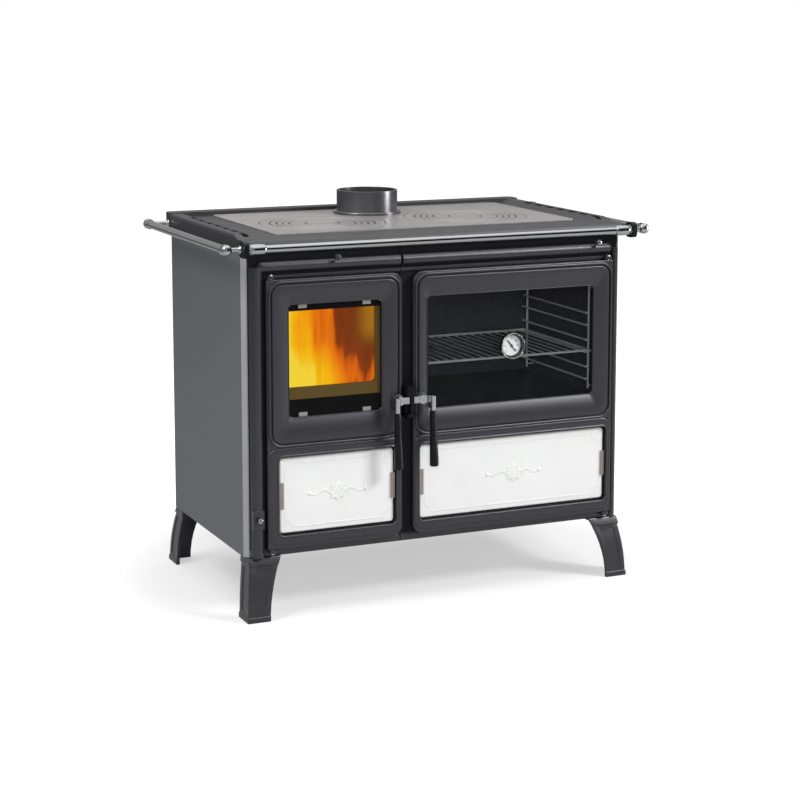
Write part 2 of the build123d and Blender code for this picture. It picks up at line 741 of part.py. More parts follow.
side_rails = []
ferrules = []
brackets = []
for side in (-1, 1):
    x_axis = side_rail_x * side
    tube = rod_y(x_axis, rail_z, *side_rail_y, side_rail_r)
    side_rails.append(tube - rod_y(x_axis, rail_z, *side_rail_y, side_rail_r - rail_wall))
    sleeve_out = (bracket_x[0] - ring_band_l - ring_band_gap) * side
    sleeve_in = sleeve_out - ferrule_l * side
    bore = rod((sleeve_in, rail_y, rail_z), (bracket_x[0] * side, rail_y, rail_z), rail_r + ferrule_gap)
    sleeve = rod((sleeve_in, rail_y, rail_z), (sleeve_out, rail_y, rail_z), ferrule_r)
    ferrules.append(fillet(sleeve.edges(), ferrule_round) - bore)
    band_in = (bracket_x[0] - ring_band_l) * side
    band = rod((band_in, rail_y, rail_z), (bracket_x[0] * side, rail_y, rail_z), ferrule_r)
    ferrules.append(band - bore)
    links = ((side_rail_y[0] - knuckle_l, side_rail_y[0], bracket_x[1], front_link_r),
             (side_rail_y[1], side_rail_y[1] + knuckle_l, hob_half, rear_link_r))
    for y_low, y_high, x_from, link_r in links:
        knuckle = rod_y(x_axis, rail_z, y_low, y_high, ferrule_r)
        knuckle = fillet(knuckle.edges(), knuckle_round)
        y_mid = (y_low + y_high) / 2
        knuckle += rod((x_from * side, y_mid, rail_z), (x_axis, y_mid, rail_z), link_r)
        ferrules.append(knuckle)
    x_span = sorted((bracket_x[0] * side, bracket_x[1] * side))
    y_span = (rail_y - bracket_ahead, rail_y + bracket_behind)
    z_span = (rail_z - bracket_h / 2, rail_z + bracket_h / 2)
    bracket = block(x_span, y_span, z_span)
    bracket = fillet(bracket.edges().filter_by(Axis.X), bracket_round)
    neck_x = sorted(((bracket_x[0] - neck_in) * side, bracket_x[1] * side))
    neck_z = (body_top + neck_lift, rim_top - hob_nose_r)
    brackets.append(bracket + block(neck_x, (hob_front - neck_l, hob_front), neck_z))
keep("side_rails", *side_rails)
keep("rail_ferrules", *ferrules)
keep("rail_brackets", *brackets)


# ---------------------------------------------------------------- legs
def leg_limits(z):
    """Outer and inner limits of a front right leg at a height; the foot flares out below a straight top."""
    share = (max(z, 0) / leg_h) ** 2
    x_out = body_half + leg_foot_x + (leg_top_x - leg_foot_x) * share
    y_out = -(leg_foot_y + (leg_top_y - leg_foot_y) * share)
    width = leg_foot_w + (leg_top_w - leg_foot_w) * share
    depth = leg_foot_d + (leg_top_d - leg_foot_d) * share
    return (x_out - width, x_out), (y_out, y_out + depth)


def leg_loft(z_low, z_high, span):
    """A tapering solid between two heights; span turns the leg's limits into one section's."""
    sections = []
    for number in range(leg_steps + 1):
        z = z_low + (z_high - z_low) * number / leg_steps
        x, y = span(*leg_limits(z))
        middle = Pos((x[0] + x[1]) / 2, (y[0] + y[1]) / 2)
        sections.append(Plane.XY.offset(z) * middle * Rectangle(x[1] - x[0], y[1] - y[0]))
    return loft(sections)


def front_right_leg():
    """L-shaped casting: two walls, a bolting flange, a plinth, a collar and sunk panels."""
    leg = leg_loft(0, leg_h, lambda x, y: (x, y))
    inside = lambda x, y: ((x[0] - 5, x[1] - leg_wall), (y[0] + leg_wall, y[1] + 5))
    leg -= leg_loft(-1, leg_h - leg_flange_t, inside)
    for low, high, out in ((0, plinth_h, plinth_out), (leg_h - collar_h, leg_h, collar_out)):
        x, y = leg_limits(low)
        leg += block((x[0], x[1] + out), (y[0] - out, y[0] + leg_wall), (low, high))
        leg += block((x[1] - leg_wall, x[1] + out), (y[0] - out, y[1]), (low, high))
    panel_z = (plinth_h + leg_panel_border / 2, leg_h - collar_h - leg_panel_border / 2)
    leg -= leg_loft(*panel_z, lambda x, y: ((x[1] - leg_panel_depth, x[1] + 5), grow(y, -leg_panel_border)))
    leg -= leg_loft(*panel_z, lambda x, y: (grow(x, -leg_panel_border), (y[0] - 5, y[0] + leg_panel_depth)))
    for x in bolt_x:
        leg -= disc(x, bolt_y, leg_h - leg_flange_t - 1, leg_h + 1, bolt_r + bolt_gap)
    return leg


mid_body = Plane(origin=(0, body_back / 2, 0), z_dir=(0, 1, 0))
leg_right = front_right_leg()
leg_left = mirror(leg_right, Plane.YZ)
keep("leg_front_left", leg_left)
keep("leg_front_right", leg_right)
keep("leg_rear_left", mirror(leg_left, mid_body))
keep("leg_rear_right", mirror(leg_right, mid_body))

bolts = []
for x, y in leg_bolt_places:
    head_z = leg_h - leg_flange_t
    nut_z = leg_h + base_t
    nut_top = nut_z + bolt_head_t
    hexagon = Pos(x, y) * RegularPolygon(bolt_head_r, 6)
    head = extrude(Plane.XY.offset(head_z - bolt_head_t) * hexagon, bolt_head_t)
    bolts.append(head + disc(x, y, head_z, nut_top + bolt_end, bolt_r))
    nut = extrude(Plane.XY.offset(nut_z) * hexagon, bolt_head_t)
    bolts.append(nut - disc(x, y, nut_z - 1, nut_top + 1, bolt_r + nut_gap))
keep("leg_bolts", *bolts)

# ---------------------------------------------------------------- firebox
shell = block(shell_x, shell_y, shell_z)
shell_inside_y = (shell_y[0] - 1, shell_y[1] - shell_wall)
shell -= block(grow(shell_x, -shell_wall), shell_inside_y, (shell_floor, shell_z[1] + 1))
shell += block(shell_x, shell_y, (grate_z - shell_wall, grate_z))
grate_x_mid = (shell_x[0] + shell_x[1]) / 2
grate_x = (grate_x_mid - grate_w / 2, grate_x_mid + grate_w / 2)
grate_y = (front_back + grate_front, front_back + grate_front + grate_l)
shell -= block(grow(grate_x, -grate_lap), grow(grate_y, -grate_lap), (grate_z - shell_wall - 1, grate_z + 1))
keep("firebox_shell", shell)

grate = block(grate_x, grate_y, (grate_z, grate_z + grate_t))
slot_pitch = (grate_w - 2 * grate_lap) / grate_bars
for number in range(grate_bars):
    x = grate_x[0] + grate_lap + slot_pitch * (number + 0.5)
    outline = Plane.XY.offset(grate_z - 1) * Pos(x, (grate_y[0] + grate_y[1]) / 2)
    outline *= Rot(0, 0, 90) * SlotOverall(grate_l - 3 * grate_lap, slot_pitch / 2)
    grate -= extrude(outline, grate_t + 2)
keep("fire_grate", grate)

brick_x = grow(shell_x, -shell_wall)
brick_back = shell_y[1] - shell_wall
keep("firebrick_rear", block(brick_x, (brick_back - brick_t, brick_back), (grate_z, brick_top)))
side_brick_y = (front_back + brick_lead, brick_back - brick_t)
keep("firebrick_sides",
     block((brick_x[0], brick_x[0] + brick_t), side_brick_y, (grate_z, brick_top)),
     block((brick_x[1] - brick_t, brick_x[1]), side_brick_y, (grate_z, brick_top)))
baffle_y = (front_back + baffle_front, brick_back - baffle_gap)
keep("smoke_baffle", block(grow(brick_x, -baffle_gap), baffle_y, (brick_top, brick_top + baffle_t)))

drawer_z = (shell_floor, shell_floor + drawer_h)
drawer = block(drawer_x, drawer_y, drawer_z)
drawer_inside_z = (drawer_z[0] + drawer_wall, drawer_z[1] + 1)
drawer -= block(grow(drawer_x, -drawer_wall), grow(drawer_y, -drawer_wall), drawer_inside_z)
drawer_mid = (drawer_x[0] + drawer_x[1]) / 2
lip_x = grow((drawer_mid, drawer_mid), drawer_lip_w / 2)
lip_top = drawer_z[1] - drawer_lip_drop
drawer += block(lip_x, (drawer_y[0] - drawer_lip_out, drawer_y[0]), (lip_top - drawer_lip_t, lip_top))
keep("ash_drawer", drawer)

# ---------------------------------------------------------------- oven
oven = block(oven_x, oven_y, oven_z)
oven -= block(grow(oven_x, -oven_wall), (oven_y[0] - 1, oven_y[1] - oven_wall), grow(oven_z, -oven_wall))
keep("oven_box", oven)

runners = []
for side, x, wall in ((1, runner_x[0], oven_x[0] + oven_wall), (-1, runner_x[1], oven_x[1] - oven_wall)):
    low = oven_z[0] + oven_wall + runner_first - runner_foot
    high = oven_z[1] - oven_wall - runner_top_gap
    runner = None
    for y in runner_y:
        post = rod((x, y, low), (x, y, high), post_r)
        runner = post if runner is None else runner + post
        for z in (low + runner_stub_in, high - runner_stub_in):
            runner += rod((wall, y, z), (x, y, z), stub_r)
    x_rail = x + runner_reach * side
    for level in range(runner_levels):
        for z in (shelf_wire_z + (level - shelf_level) * runner_pitch,
                  shelf_wire_z + (level - shelf_level) * runner_pitch + runner_pair):
            for y in runner_y:
                runner += rod((x, y, z), (x_rail, y, z), stub_r)
            rail_y_span = grow(runner_y, rail_end)
            runner += rod((x_rail, rail_y_span[0], z), (x_rail, rail_y_span[1], z), wire_r)
    runners.append(runner)
keep("oven_runners", *runners)

shelf_x = (runner_x[0] + runner_reach - shelf_r, runner_x[1] - runner_reach + shelf_r)
shelf_y = (front_back + shelf_front, runner_y[1])
shelf = rod((shelf_x[0], shelf_y[0], shelf_z), (shelf_x[1], shelf_y[0], shelf_z), shelf_r)
shelf += rod((shelf_x[0], shelf_y[1], shelf_z), (shelf_x[1], shelf_y[1], shelf_z), shelf_r)
for x in shelf_x:
    shelf += rod((x, shelf_y[0] - shelf_end, shelf_z), (x, shelf_y[1] + shelf_end, shelf_z), shelf_side_r)
rung_count = int((shelf_x[1] - shelf_x[0]) / rung_pitch)
rung_step = (shelf_x[1] - shelf_x[0]) / rung_count
for number in range(1, rung_count):
    x = shelf_x[0] + number * rung_step
    shelf += rod((x, shelf_y[0], shelf_z), (x, shelf_y[1], shelf_z), rung_r)
keep("oven_shelf", shelf)


# ---------------------------------------------------------------- doors
def door_leaf(x, hinge_side, window_x, window_z, tile_x, pivot_x):
    """Cast door leaf; hinge_side is -1 for hinges on the left edge and 1 on the right edge."""
    outline = Rectangle(x[1] - x[0], door_z[1] - door_z[0])
    free_corners = outline.vertices().group_by(Axis.X)[0 if hinge_side > 0 else -1]
    outline = fillet(free_corners, door_corner_r)
    origin = ((x[0] + x[1]) / 2, door_back, (door_z[0] + door_z[1]) / 2)
    plane = Plane(origin=origin, x_dir=(1, 0, 0), z_dir=(0, -1, 0))
    leaf = extrude(plane * outline, door_t)
    tile_rim_x = grow(x, -tile_rim_edge)
    tile_rim_z = (tile_z[0] - tile_gap - tile_rim_w, tile_z[1] + tile_gap + tile_rim_w)
    tile_rim = upright(tile_rim_x, tile_rim_z, door_face, door_face - tile_rim_h, door_corner_r)
    leaf += fillet(tile_rim.faces().sort_by(Axis.Y)[0].edges(), rim_round)
    section_z = (tile_rim_z[1] + bead_lift - bead_in, door_z[1])
    rings = []
    for inset, height in ((bead_in, bead_h), (bead_in + bead_w, bead_h + 1), (panel_in, panel_h)):
        outline = (grow(x, -inset), grow(section_z, -inset))
        rings.append(upright(*outline, door_face, door_face - height, bead_r - inset))
    bead = rings[0] - rings[1]
    leaf += fillet(bead.faces().sort_by(Axis.Y)[0].edges(), bead_round)
    leaf += fillet(rings[2].faces().sort_by(Axis.Y)[0].edges(), panel_round)
    leaf += rod_y(pivot_x, handle_z, boss_front, door_face, boss_r)
    leaf -= upright(window_x, window_z, door_back + 1, door_face - boss_out - 1, window_r)
    glass_edge = glass_lap + glass_side_gap
    glass_span = (grow(window_x, glass_edge), grow(window_z, glass_edge))
    leaf -= upright(*glass_span, door_back + 1, glass_front, glass_pocket_r)
    leaf -= upright(grow(tile_x, tile_gap), grow(tile_z, tile_gap), tile_back, boss_front, tile_r + tile_gap)
    edge = x[0] if hinge_side < 0 else x[1]
    inward = -hinge_side
    corner = [(edge - inward, door_back + 1), (edge + inward * hinge_chamfer, door_back + 1),
              (edge + inward * hinge_chamfer, door_back), (edge, door_back - hinge_chamfer),
              (edge - inward, door_back - hinge_chamfer)]
    wedge = Plane.XY.offset(door_z[0] - 1) * Polygon(*corner, align=None)
    leaf -= extrude(wedge, door_z[1] - door_z[0] + 2, dir=(0, 0, 1))
    hinge_x = edge + inward * hinge_inset
    bore_r = pin_r + pin_gap
    leaf -= disc(hinge_x, hinge_y, door_z[1] - pin_in_door - 1, door_z[1] + 1, bore_r)
    leaf -= disc(hinge_x, hinge_y, door_z[0] - 1, door_z[0] + pin_in_door + 1, bore_r)
    leaf -= rod_y(pivot_x, handle_z, boss_front - 1, door_back + 1, shaft_r + shaft_gap)
    washer_seat = door_back - washer_in - washer_t - washer_gap
    return leaf - rod_y(pivot_x, handle_z, washer_seat, door_back + 1, washer_r + washer_side_gap)


def pane(window_x, window_z):
    """Flat ceramic glass in the pocket behind a window."""
    return upright(grow(window_x, glass_lap), grow(window_z, glass_lap), glass_back, glass_front, glass_r)


def rope_seal(mouth_x, mouth_z):
    """Flattened rope gasket round a mouth, between the door and the cast front."""
    inner = (grow(mouth_x, seal_clear), grow(mouth_z, seal_clear))
    outer = (grow(mouth_x, seal_clear + seal_w), grow(mouth_z, seal_clear + seal_w))
    ring = upright(*outer, front_face, door_back, window_r + seal_w)
    return ring - upright(*inner, front_face + 1, door_back - 1, window_r)


def tile(tile_x):
    """Glazed ceramic tile in the lower part of a door."""
    slab = upright(tile_x, tile_z, tile_back, tile_face, tile_r)
    return fillet(slab.faces().sort_by(Axis.Y)[0].edges(), tile_edge_r)


def tile_clip(edge, inward):
    """Bent strip that hooks over the middle of a tile's short edge."""
    z_mid = (tile_z[0] + tile_z[1]) / 2
    z = (z_mid - tile_clip_l / 2, z_mid + tile_clip_l / 2)
    outside = edge - inward * (tile_clip_gap + tile_clip_t)
    foot = sorted((edge - inward * tile_clip_gap, outside))
    over = sorted((outside, edge + inward * tile_clip_lap))
    return block(foot, (tile_face, tile_back), z) + block(over, (tile_face - tile_clip_t, tile_face), z)


fire_window_mid = (fire_window_x[0] + fire_window_x[1]) / 2
clips = []
for x in (fire_window_mid - glass_clip_x, fire_window_mid + glass_clip_x):
    span = (x - glass_clip_w / 2, x + glass_clip_w / 2)
    clip_y = (glass_front - glass_clip_t, glass_front)
    clips.append(block(span, clip_y, (fire_window_z[1] - glass_clip_h, fire_window_z[1])))
    clips.append(block(span, clip_y, (fire_window_z[0], fire_window_z[0] + glass_clip_h)))

keep("fire_door", door_leaf(fire_door_x, -1, fire_window_x, fire_window_z, fire_tile_x, fire_pivot_x))
keep("fire_door_glass", pane(fire_window_x, fire_window_z))
keep("fire_glass_clips", *clips)
keep("fire_door_seal", rope_seal(fire_mouth_x, (ash_mouth_z[0], fire_mouth_z[1])))
keep("fire_door_tile", tile(fire_tile_x))
keep("fire_tile_clips", tile_clip(fire_tile_x[0], 1), tile_clip(fire_tile_x[1], -1))

stem_hole = rod_y(thermo_x, thermo_z, glass_front - 1, glass_back + 1, stem_r + stem_gap)
keep("oven_door", door_leaf(oven_door_x, 1, oven_window_x, oven_window_z, oven_tile_x, oven_pivot_x))
keep("oven_door_glass", pane(oven_window_x, oven_window_z) - stem_hole)
keep("oven_door_seal", rope_seal(oven_mouth_x, oven_mouth_z))
keep("oven_door_tile", tile(oven_tile_x))
keep("oven_tile_clips", tile_clip(oven_tile_x[0], 1), tile_clip(oven_tile_x[1], -1))


# ---------------------------------------------------------------- latch handles
def latch_lever(pivot_x, inward, tube_in):
    """Flat lever with its tongue towards the keeper, its shaft and the chrome tube for the grip."""
    tip = pivot_x + inward * tongue_l
    tube_x = pivot_x - inward * tube_in
    lever_z = (handle_z - lever_h / 2, handle_z + lever_h / 2)
    lever = block(sorted((tip, tube_x)), (lever_front, lever_back), lever_z)
    lever += rod_y(pivot_x, handle_z, lever_front - lever_hub_out, lever_back, lever_h / 2 + lever_hub_rim)
    washer_back = door_back - washer_in
    lever += rod_y(pivot_x, handle_z, lever_back, washer_back, shaft_r)
    lever += rod_y(pivot_x, handle_z, washer_back - washer_t, washer_back, washer_r)
    web_x = grow((tube_x, tube_x), tube_r - web_in)
    lever += block(web_x, (tube_y, lever_back), (grip_top + web_up, lever_z[1]))
    return lever + disc(tube_x, tube_y, grip_top, handle_z + tube_up, tube_r)


def grip(pivot_x, inward, tube_in, lean):
    """Tapered black grip hanging from the lever's tube."""
    top = Vector(pivot_x - inward * tube_in, tube_y, grip_top - grip_gap)
    bottom = Vector(top.X + lean, tube_y, top.Z - grip_l)
    line = bottom - top
    handle = Solid.make_cone(grip_top_r, grip_bottom_r, line.length, Plane(origin=top, z_dir=line))
    return fillet(handle.edges().sort_by(Axis.Z)[0], grip_end_round)


keep("fire_handle_lever", latch_lever(fire_pivot_x, 1, fire_tube_in))
keep("fire_handle_grip", grip(fire_pivot_x, 1, fire_tube_in, fire_grip_lean))
keep("oven_handle_lever", latch_lever(oven_pivot_x, -1, oven_tube_in))
keep("oven_handle_grip", grip(oven_pivot_x, -1, oven_tube_in, oven_grip_lean))

# ---------------------------------------------------------------- thermometer
case = rod_y(thermo_x, thermo_z, thermo_front, thermo_front + thermo_rim_h, thermo_r)
case = fillet(case.edges().group_by(Axis.Y)[0], thermo_rim_round)
case += rod_y(thermo_x, thermo_z, thermo_front + thermo_rim_h, glass_front, thermo_body_r)
case -= rod_y(thermo_x, thermo_z, thermo_front - 1, thermo_floor, thermo_dial_r + dial_gap)
case += rod_y(thermo_x, thermo_z, glass_front, glass_back, stem_r)
case += rod_y(thermo_x, thermo_z, glass_back, glass_back + nut_t, nut_r)
keep("thermometer_case", case)
dial = rod_y(thermo_x, thermo_z, dial_front, dial_front + dial_t, thermo_dial_r)
dial += rod_y(thermo_x, thermo_z, dial_front + dial_t, thermo_floor, hub_r + dial_foot)
dial -= rod_y(thermo_x, thermo_z, dial_front - 1, thermo_floor + 1, arbor_r + arbor_gap)
keep("thermometer_dial", dial)
needle_y = (dial_front - needle_lift - needle_t, dial_front - needle_lift)
needle = block((-needle_w / 2, needle_w / 2), needle_y, (-needle_l, needle_l))
needle += rod_y(0, 0, *needle_y, hub_r)
needle += rod_y(0, 0, needle_y[1], thermo_floor - arbor_end, arbor_r)
keep("thermometer_needle", Pos(thermo_x, 0, thermo_z) * Rot(0, needle_turn, 0) * needle)


# ---------------------------------------------------------------- air and flue controls
def control(name, x, z, knob_y, knob_r, reach, gate):
    """Pull rod with a knob in front of the casting and a sliding gate behind it."""
    y_in = front_back + reach
    gate_x = (x - gate[0] / 2, x + gate[0] / 2)
    gate_z = (z - gate[1] / 2, z + gate[1] / 2)
    keep(f"{name}_slider", rod_y(x, z, knob_y[1], y_in, rod_r) + block(gate_x, (y_in, y_in + gate_t), gate_z))
    knob = rod_y(x, z, *knob_y, knob_r)
    keep(f"{name}_knob", fillet(knob.edges().group_by(Axis.Y)[0], knob_round))


primary_back = primary_plate_face - primary_knob_out
primary_knob_y = (primary_back - primary_knob_l, primary_back)
top_back = front_face - top_knob_out
top_knob_y = (top_back - top_knob_l, top_back)
control("primary_air", primary_x, primary_z, primary_knob_y, primary_knob_r, primary_reach, primary_gate)
control("secondary_air", secondary_x, top_rod_z, top_knob_y, top_knob_r, secondary_reach, top_gate)
control("damper", damper_x, top_rod_z, top_knob_y, top_knob_r, damper_reach, top_gate)

os.makedirs("parts", exist_ok=True)
for name, shape in nodes.items():
    export_step(shape, f"parts/{name}.step")
print(len(nodes), "nodes, mid depth", round(mid_depth, 3))
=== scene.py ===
"""A free-standing wood cookstove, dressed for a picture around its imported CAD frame.

Blender works in metres. Sizes and places on the stove are given in millimetres in the part's own frame (X
from the firebox to the oven, Y from front to back, Z up), and are turned to metres on their way into Blender.
Only the studio round it is laid out in metres.
"""

import json
import math
from functools import partial

import bmesh
import bpy
import numpy as np
from mathutils import Matrix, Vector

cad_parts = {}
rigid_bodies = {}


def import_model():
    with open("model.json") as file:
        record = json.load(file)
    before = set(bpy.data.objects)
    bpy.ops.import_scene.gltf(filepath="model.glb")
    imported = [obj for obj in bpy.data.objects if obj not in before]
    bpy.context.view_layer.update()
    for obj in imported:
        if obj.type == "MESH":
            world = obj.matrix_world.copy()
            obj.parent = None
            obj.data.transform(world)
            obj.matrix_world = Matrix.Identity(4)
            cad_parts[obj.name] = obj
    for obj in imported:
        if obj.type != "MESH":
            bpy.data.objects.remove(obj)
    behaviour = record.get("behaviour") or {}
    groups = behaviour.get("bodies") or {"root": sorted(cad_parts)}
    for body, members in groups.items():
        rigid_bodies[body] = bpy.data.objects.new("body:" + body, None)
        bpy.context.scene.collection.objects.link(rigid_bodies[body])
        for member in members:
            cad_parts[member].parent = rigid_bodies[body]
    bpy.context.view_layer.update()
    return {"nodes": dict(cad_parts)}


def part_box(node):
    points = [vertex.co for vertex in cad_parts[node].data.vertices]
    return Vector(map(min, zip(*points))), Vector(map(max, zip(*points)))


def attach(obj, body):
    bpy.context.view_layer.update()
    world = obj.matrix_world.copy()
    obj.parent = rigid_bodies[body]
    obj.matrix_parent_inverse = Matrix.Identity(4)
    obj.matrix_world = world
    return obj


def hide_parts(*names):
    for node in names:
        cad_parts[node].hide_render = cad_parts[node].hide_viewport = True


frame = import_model()

# ------------ side panels and corner strips
# The sides are folded sheet steel with a satin stove enamel, sprayed and baked, so they are even and
# only faintly rippled. The two corner strips are bright steel with a light grey satin coat.


def linear(code):
    """The linear colour of an sRGB hex value."""
    value = np.array([int(code[i:i + 2], 16) for i in (1, 3, 5)]) / 255
    value = np.where(value > 0.04045, ((value + 0.055) / 1.055) ** 2.4, value / 12.92)
    return (*value.tolist(), 1.0)


def add_node(tree, kind, inputs=None, **settings):
    """Add one shader node: settings are its properties, and inputs are fed to it as below."""
    node = tree.nodes.new("ShaderNode" + kind)
    for key, value in settings.items():
        setattr(node, key, value)
    feed(node, inputs or {})
    return node


def feed(node, inputs):
    """Set each input of a node to a value, or link it to a socket or to the first live output of a node."""
    for key, value in inputs.items():
        if isinstance(value, bpy.types.Node):
            value = next(socket for socket in value.outputs if socket.enabled)
        if isinstance(value, bpy.types.NodeSocket):
            node.id_data.links.new(value, node.inputs[key])
        else:
            node.inputs[key].default_value = value


def new_material(name, constants):
    """A material whose shader has these constants: returns it, its own add_node, the shader and the point."""
    material = bpy.data.materials.new(name)
    material.use_nodes = True
    shader = material.node_tree.nodes["Principled BSDF"]
    feed(shader, constants)
    add = partial(add_node, material.node_tree)
    return material, add, shader, add("TexCoord").outputs["Object"]


def drifting(add, point, shades, patch, detail=3.0):
    """A colour that drifts between two shades over patches of this size."""
    drift = add("TexNoise", {"Vector": point, "Scale": 1000 / patch, "Detail": detail})
    return add("MixRGB", {"Fac": drift, "Color1": linear(shades[0]), "Color2": linear(shades[1])})


def dress(add, shader, colour, grain, relief, rough, edge):
    """Give a shader its colour, and a grain that sways its roughness and stands in relief."""
    gloss = add("MapRange", {"Value": grain, "From Min": 0.3, "From Max": 0.7, "To Min": rough[0],
                             "To Max": rough[1]})
    rounded = add("Bevel", {"Radius": edge / 1000}, samples=4)
    bump = add("Bump", {"Height": grain, "Distance": relief / 1000, "Normal": rounded})
    feed(shader, {"Base Color": colour, "Roughness": gloss, "Normal": bump})


def mottled(name, shades, patch, grain, relief, rough, edge=0.8, stretch=(1, 1, 1), metal=0.0, shine=0.5,
            extra=None):
    """A material with a drift between two shades over patches, and a fine grain in relief.

    patch, grain, relief and edge are millimetres: the size of a patch, the spacing and height of the
    grain, and the radius that the edges seem rounded to. rough is the span of its roughness, stretch
    scales the grain along each axis, and extra holds more of the shader's constants.
    """
    constants = {"Metallic": metal, "Specular IOR Level": shine, **(extra or {})}
    material, add, shader, point = new_material(name, constants)
    along = add("Mapping", {"Vector": point, "Scale": stretch})
    fine = add("TexNoise", {"Vector": along, "Scale": 1000 / grain, "Detail": 2.0})
    dress(add, shader, drifting(add, point, shades, patch), fine, relief, rough, edge)
    return material


def coat(material, *names):
    """Give CAD nodes their finish."""
    for name in names:
        mesh = frame["nodes"][name].data
        mesh.materials.clear()
        mesh.materials.append(material)


sheet_enamel = mottled("satin_sheet_enamel", ("#54555A", "#5A5B60"), 180, 3.0, 0.012, (0.36, 0.44))
light_coat = mottled("light_satin_coat", ("#838487", "#8C8D90"), 90, 2.0, 0.008, (0.28, 0.36))
coat(sheet_enamel, "left_side_panel", "right_side_panel")
coat(light_coat, "corner_trims")

# ------------ back, base and heat shield
# Hidden sheet work behind and under the stove, sprayed with matt black heatproof paint, which dries dry
# and slightly speckled. The spacers that hold the shield off are bright zinc-plated steel tube.
heatproof_paint = mottled("matt_heatproof_paint", ("#1D1D1F", "#242426"), 60, 1.2, 0.03, (0.62, 0.74))
zinc = mottled("bright_zinc_plate", ("#B9BABC", "#C6C7C8"), 12, 0.8, 0.006, (0.24, 0.34), 0.4, metal=1.0)
coat(heatproof_paint, "back_panel", "base_plate", "rear_heat_shield")
coat(zinc, "shield_spacers", "leg_bolts", "hinge_pins")

# ------------ cast front, hob frame, flue collar
# Grey iron, sand cast, ground along its faces and coated with satin anthracite enamel. The sand leaves a
# faint orange-peel grain under the enamel, and the enamel draws back a little from sharp edges.
enamel_shine = {"Specular Tint": (0.9, 0.9, 1, 1), "Coat Roughness": 0.3}
cast_look = (("#17171B", "#1C1C20"), 70, 1.6, 0.03, (0.34, 0.42), 1.4)
cast_enamel = mottled("satin_cast_iron_enamel", *cast_look, extra={**enamel_shine, "Coat Weight": 0.6})
hob_enamel = mottled("satin_hob_frame_enamel", ("#1C1C1E", "#252427"), 60, 1.6, 0.03, (0.42, 0.52), 1.6,
                     shine=0.4)
coat(hob_enamel, "hob_frame")


def corners(node):
    """The lowest and the highest corner of a CAD node, in millimetres."""
    return [np.array(corner) * 1000 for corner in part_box(node)]


def middle_half(node):
    """The middle of a CAD node and half its size each way, in millimetres."""
    low, high = corners(node)
    return (low + high) / 2, (high - low) / 2


# Painted shade: the flats behind the doors and the roll, where shade falls, lose their coat and most of their
# shine and stay nearly black.
column_out = 18
flat_y = corners("front_frame_left")[0][1] + column_out
frame_enamel = mottled("cast_front_enamel", *cast_look, extra=enamel_shine)
tree = frame_enamel.node_tree
add = partial(add_node, tree)
place = add("SeparateXYZ", {"Vector": add("TexCoord").outputs["Object"]})
ahead = add("MapRange", {"Value": place.outputs["Y"], "From Min": (flat_y - 0.4) / 1000,
                         "From Max": (flat_y - 1.6) / 1000})
# The strip below the doors keeps its full coat and shine too.
foot_z = corners("fire_door")[0][2]
below = add("MapRange", {"Value": place.outputs["Z"], "From Min": foot_z / 1000,
                         "From Max": (foot_z - 3) / 1000})
out_of_shade = add("Math", {0: ahead, 1: below}, operation="MAXIMUM")
for socket, in_shade, full in (("Coat Weight", 0.0, 0.6), ("Specular IOR Level", 0.06, 0.5)):
    shine = add("MapRange", {"Value": out_of_shade, "To Min": in_shade, "To Max": full})
    feed(tree.nodes["Principled BSDF"], {socket: shine})
coat(frame_enamel, "front_frame_left", "front_frame_right")
# The keeper and the brackets are smaller castings, dipped in a blacker enamel.
black_dip = mottled("black_dipped_enamel", ("#09090A", "#0E0E10"), 25, 1.2, 0.02, (0.3, 0.38), 1.0, shine=0.15)
coat(black_dip, "latch_keeper", "rail_brackets")
# The collar is turned, with a thin grey heatproof paint whose metal flakes give it a silky shine.
collar_paint = mottled("silky_metal_paint", ("#5C5C60", "#66666A"), 40, 1.0, 0.008, (0.22, 0.28), metal=0.8)
coat(collar_paint, "flue_collar")

# ------------ cooking plate, rings and caps
# The plate is grey iron ground flat along its length, which leaves fine straight scratches. The rings and
# caps are faced on a lathe, so their tool marks run in circles round each cooking zone.
plate_shades = ("#7F7D7C", "#949290")
hob_plate = mottled("ground_cast_iron", plate_shades, 45, 0.9, 0.02, (0.30, 0.46), 2.2, (0.02, 1, 1),
                    metal=0.6, extra={"Anisotropic": 0.4})
coat(hob_plate, "hob_plate")

zone_x, zone_y, _ = middle_half("right_hob_ring")[0]
zone_z = corners("right_hob_ring")[1][2]
mark_pitch = 1.3         # between tool marks; the real 0.3 mm would not show

turned, add, shader, point = new_material("turned_cast_iron", {"Metallic": 0.6})
# Both zones share this finish: the marks run round the nearer of their two centres.
apart = add("SeparateXYZ", {"Vector": point})
side = add("Math", {0: apart.outputs["X"]}, operation="ABSOLUTE")
across = add("Math", {0: side, 1: zone_x / 1000}, operation="SUBTRACT")
along = add("Math", {0: apart.outputs["Y"], 1: zone_y / 1000}, operation="SUBTRACT")
reach = add("VectorMath", {0: add("CombineXYZ", {"X": across, "Y": along})}, operation="LENGTH")
marks = add("TexNoise", {"W": reach, "Scale": 1000 / mark_pitch, "Detail": 1.0}, noise_dimensions="1D")
# Painted shade: the turned grooves and the seams between plate, ring and cap are coloured darker the deeper
# they lie below the top face.
groove_shade = add("MapRange", {"Value": apart.outputs["Z"], "From Min": (zone_z - 1.5) / 1000,
                        "From Max": (zone_z - 0.05) / 1000, "To Min": 1.0, "To Max": 0.0})
shaded_grooves = add("MixRGB", {"Fac": groove_shade, "Color1": drifting(add, point, plate_shades, 45),
                        "Color2": linear("#2A2826")})
dress(add, shader, shaded_grooves, marks, 0.03, (0.30, 0.46), 0.8)


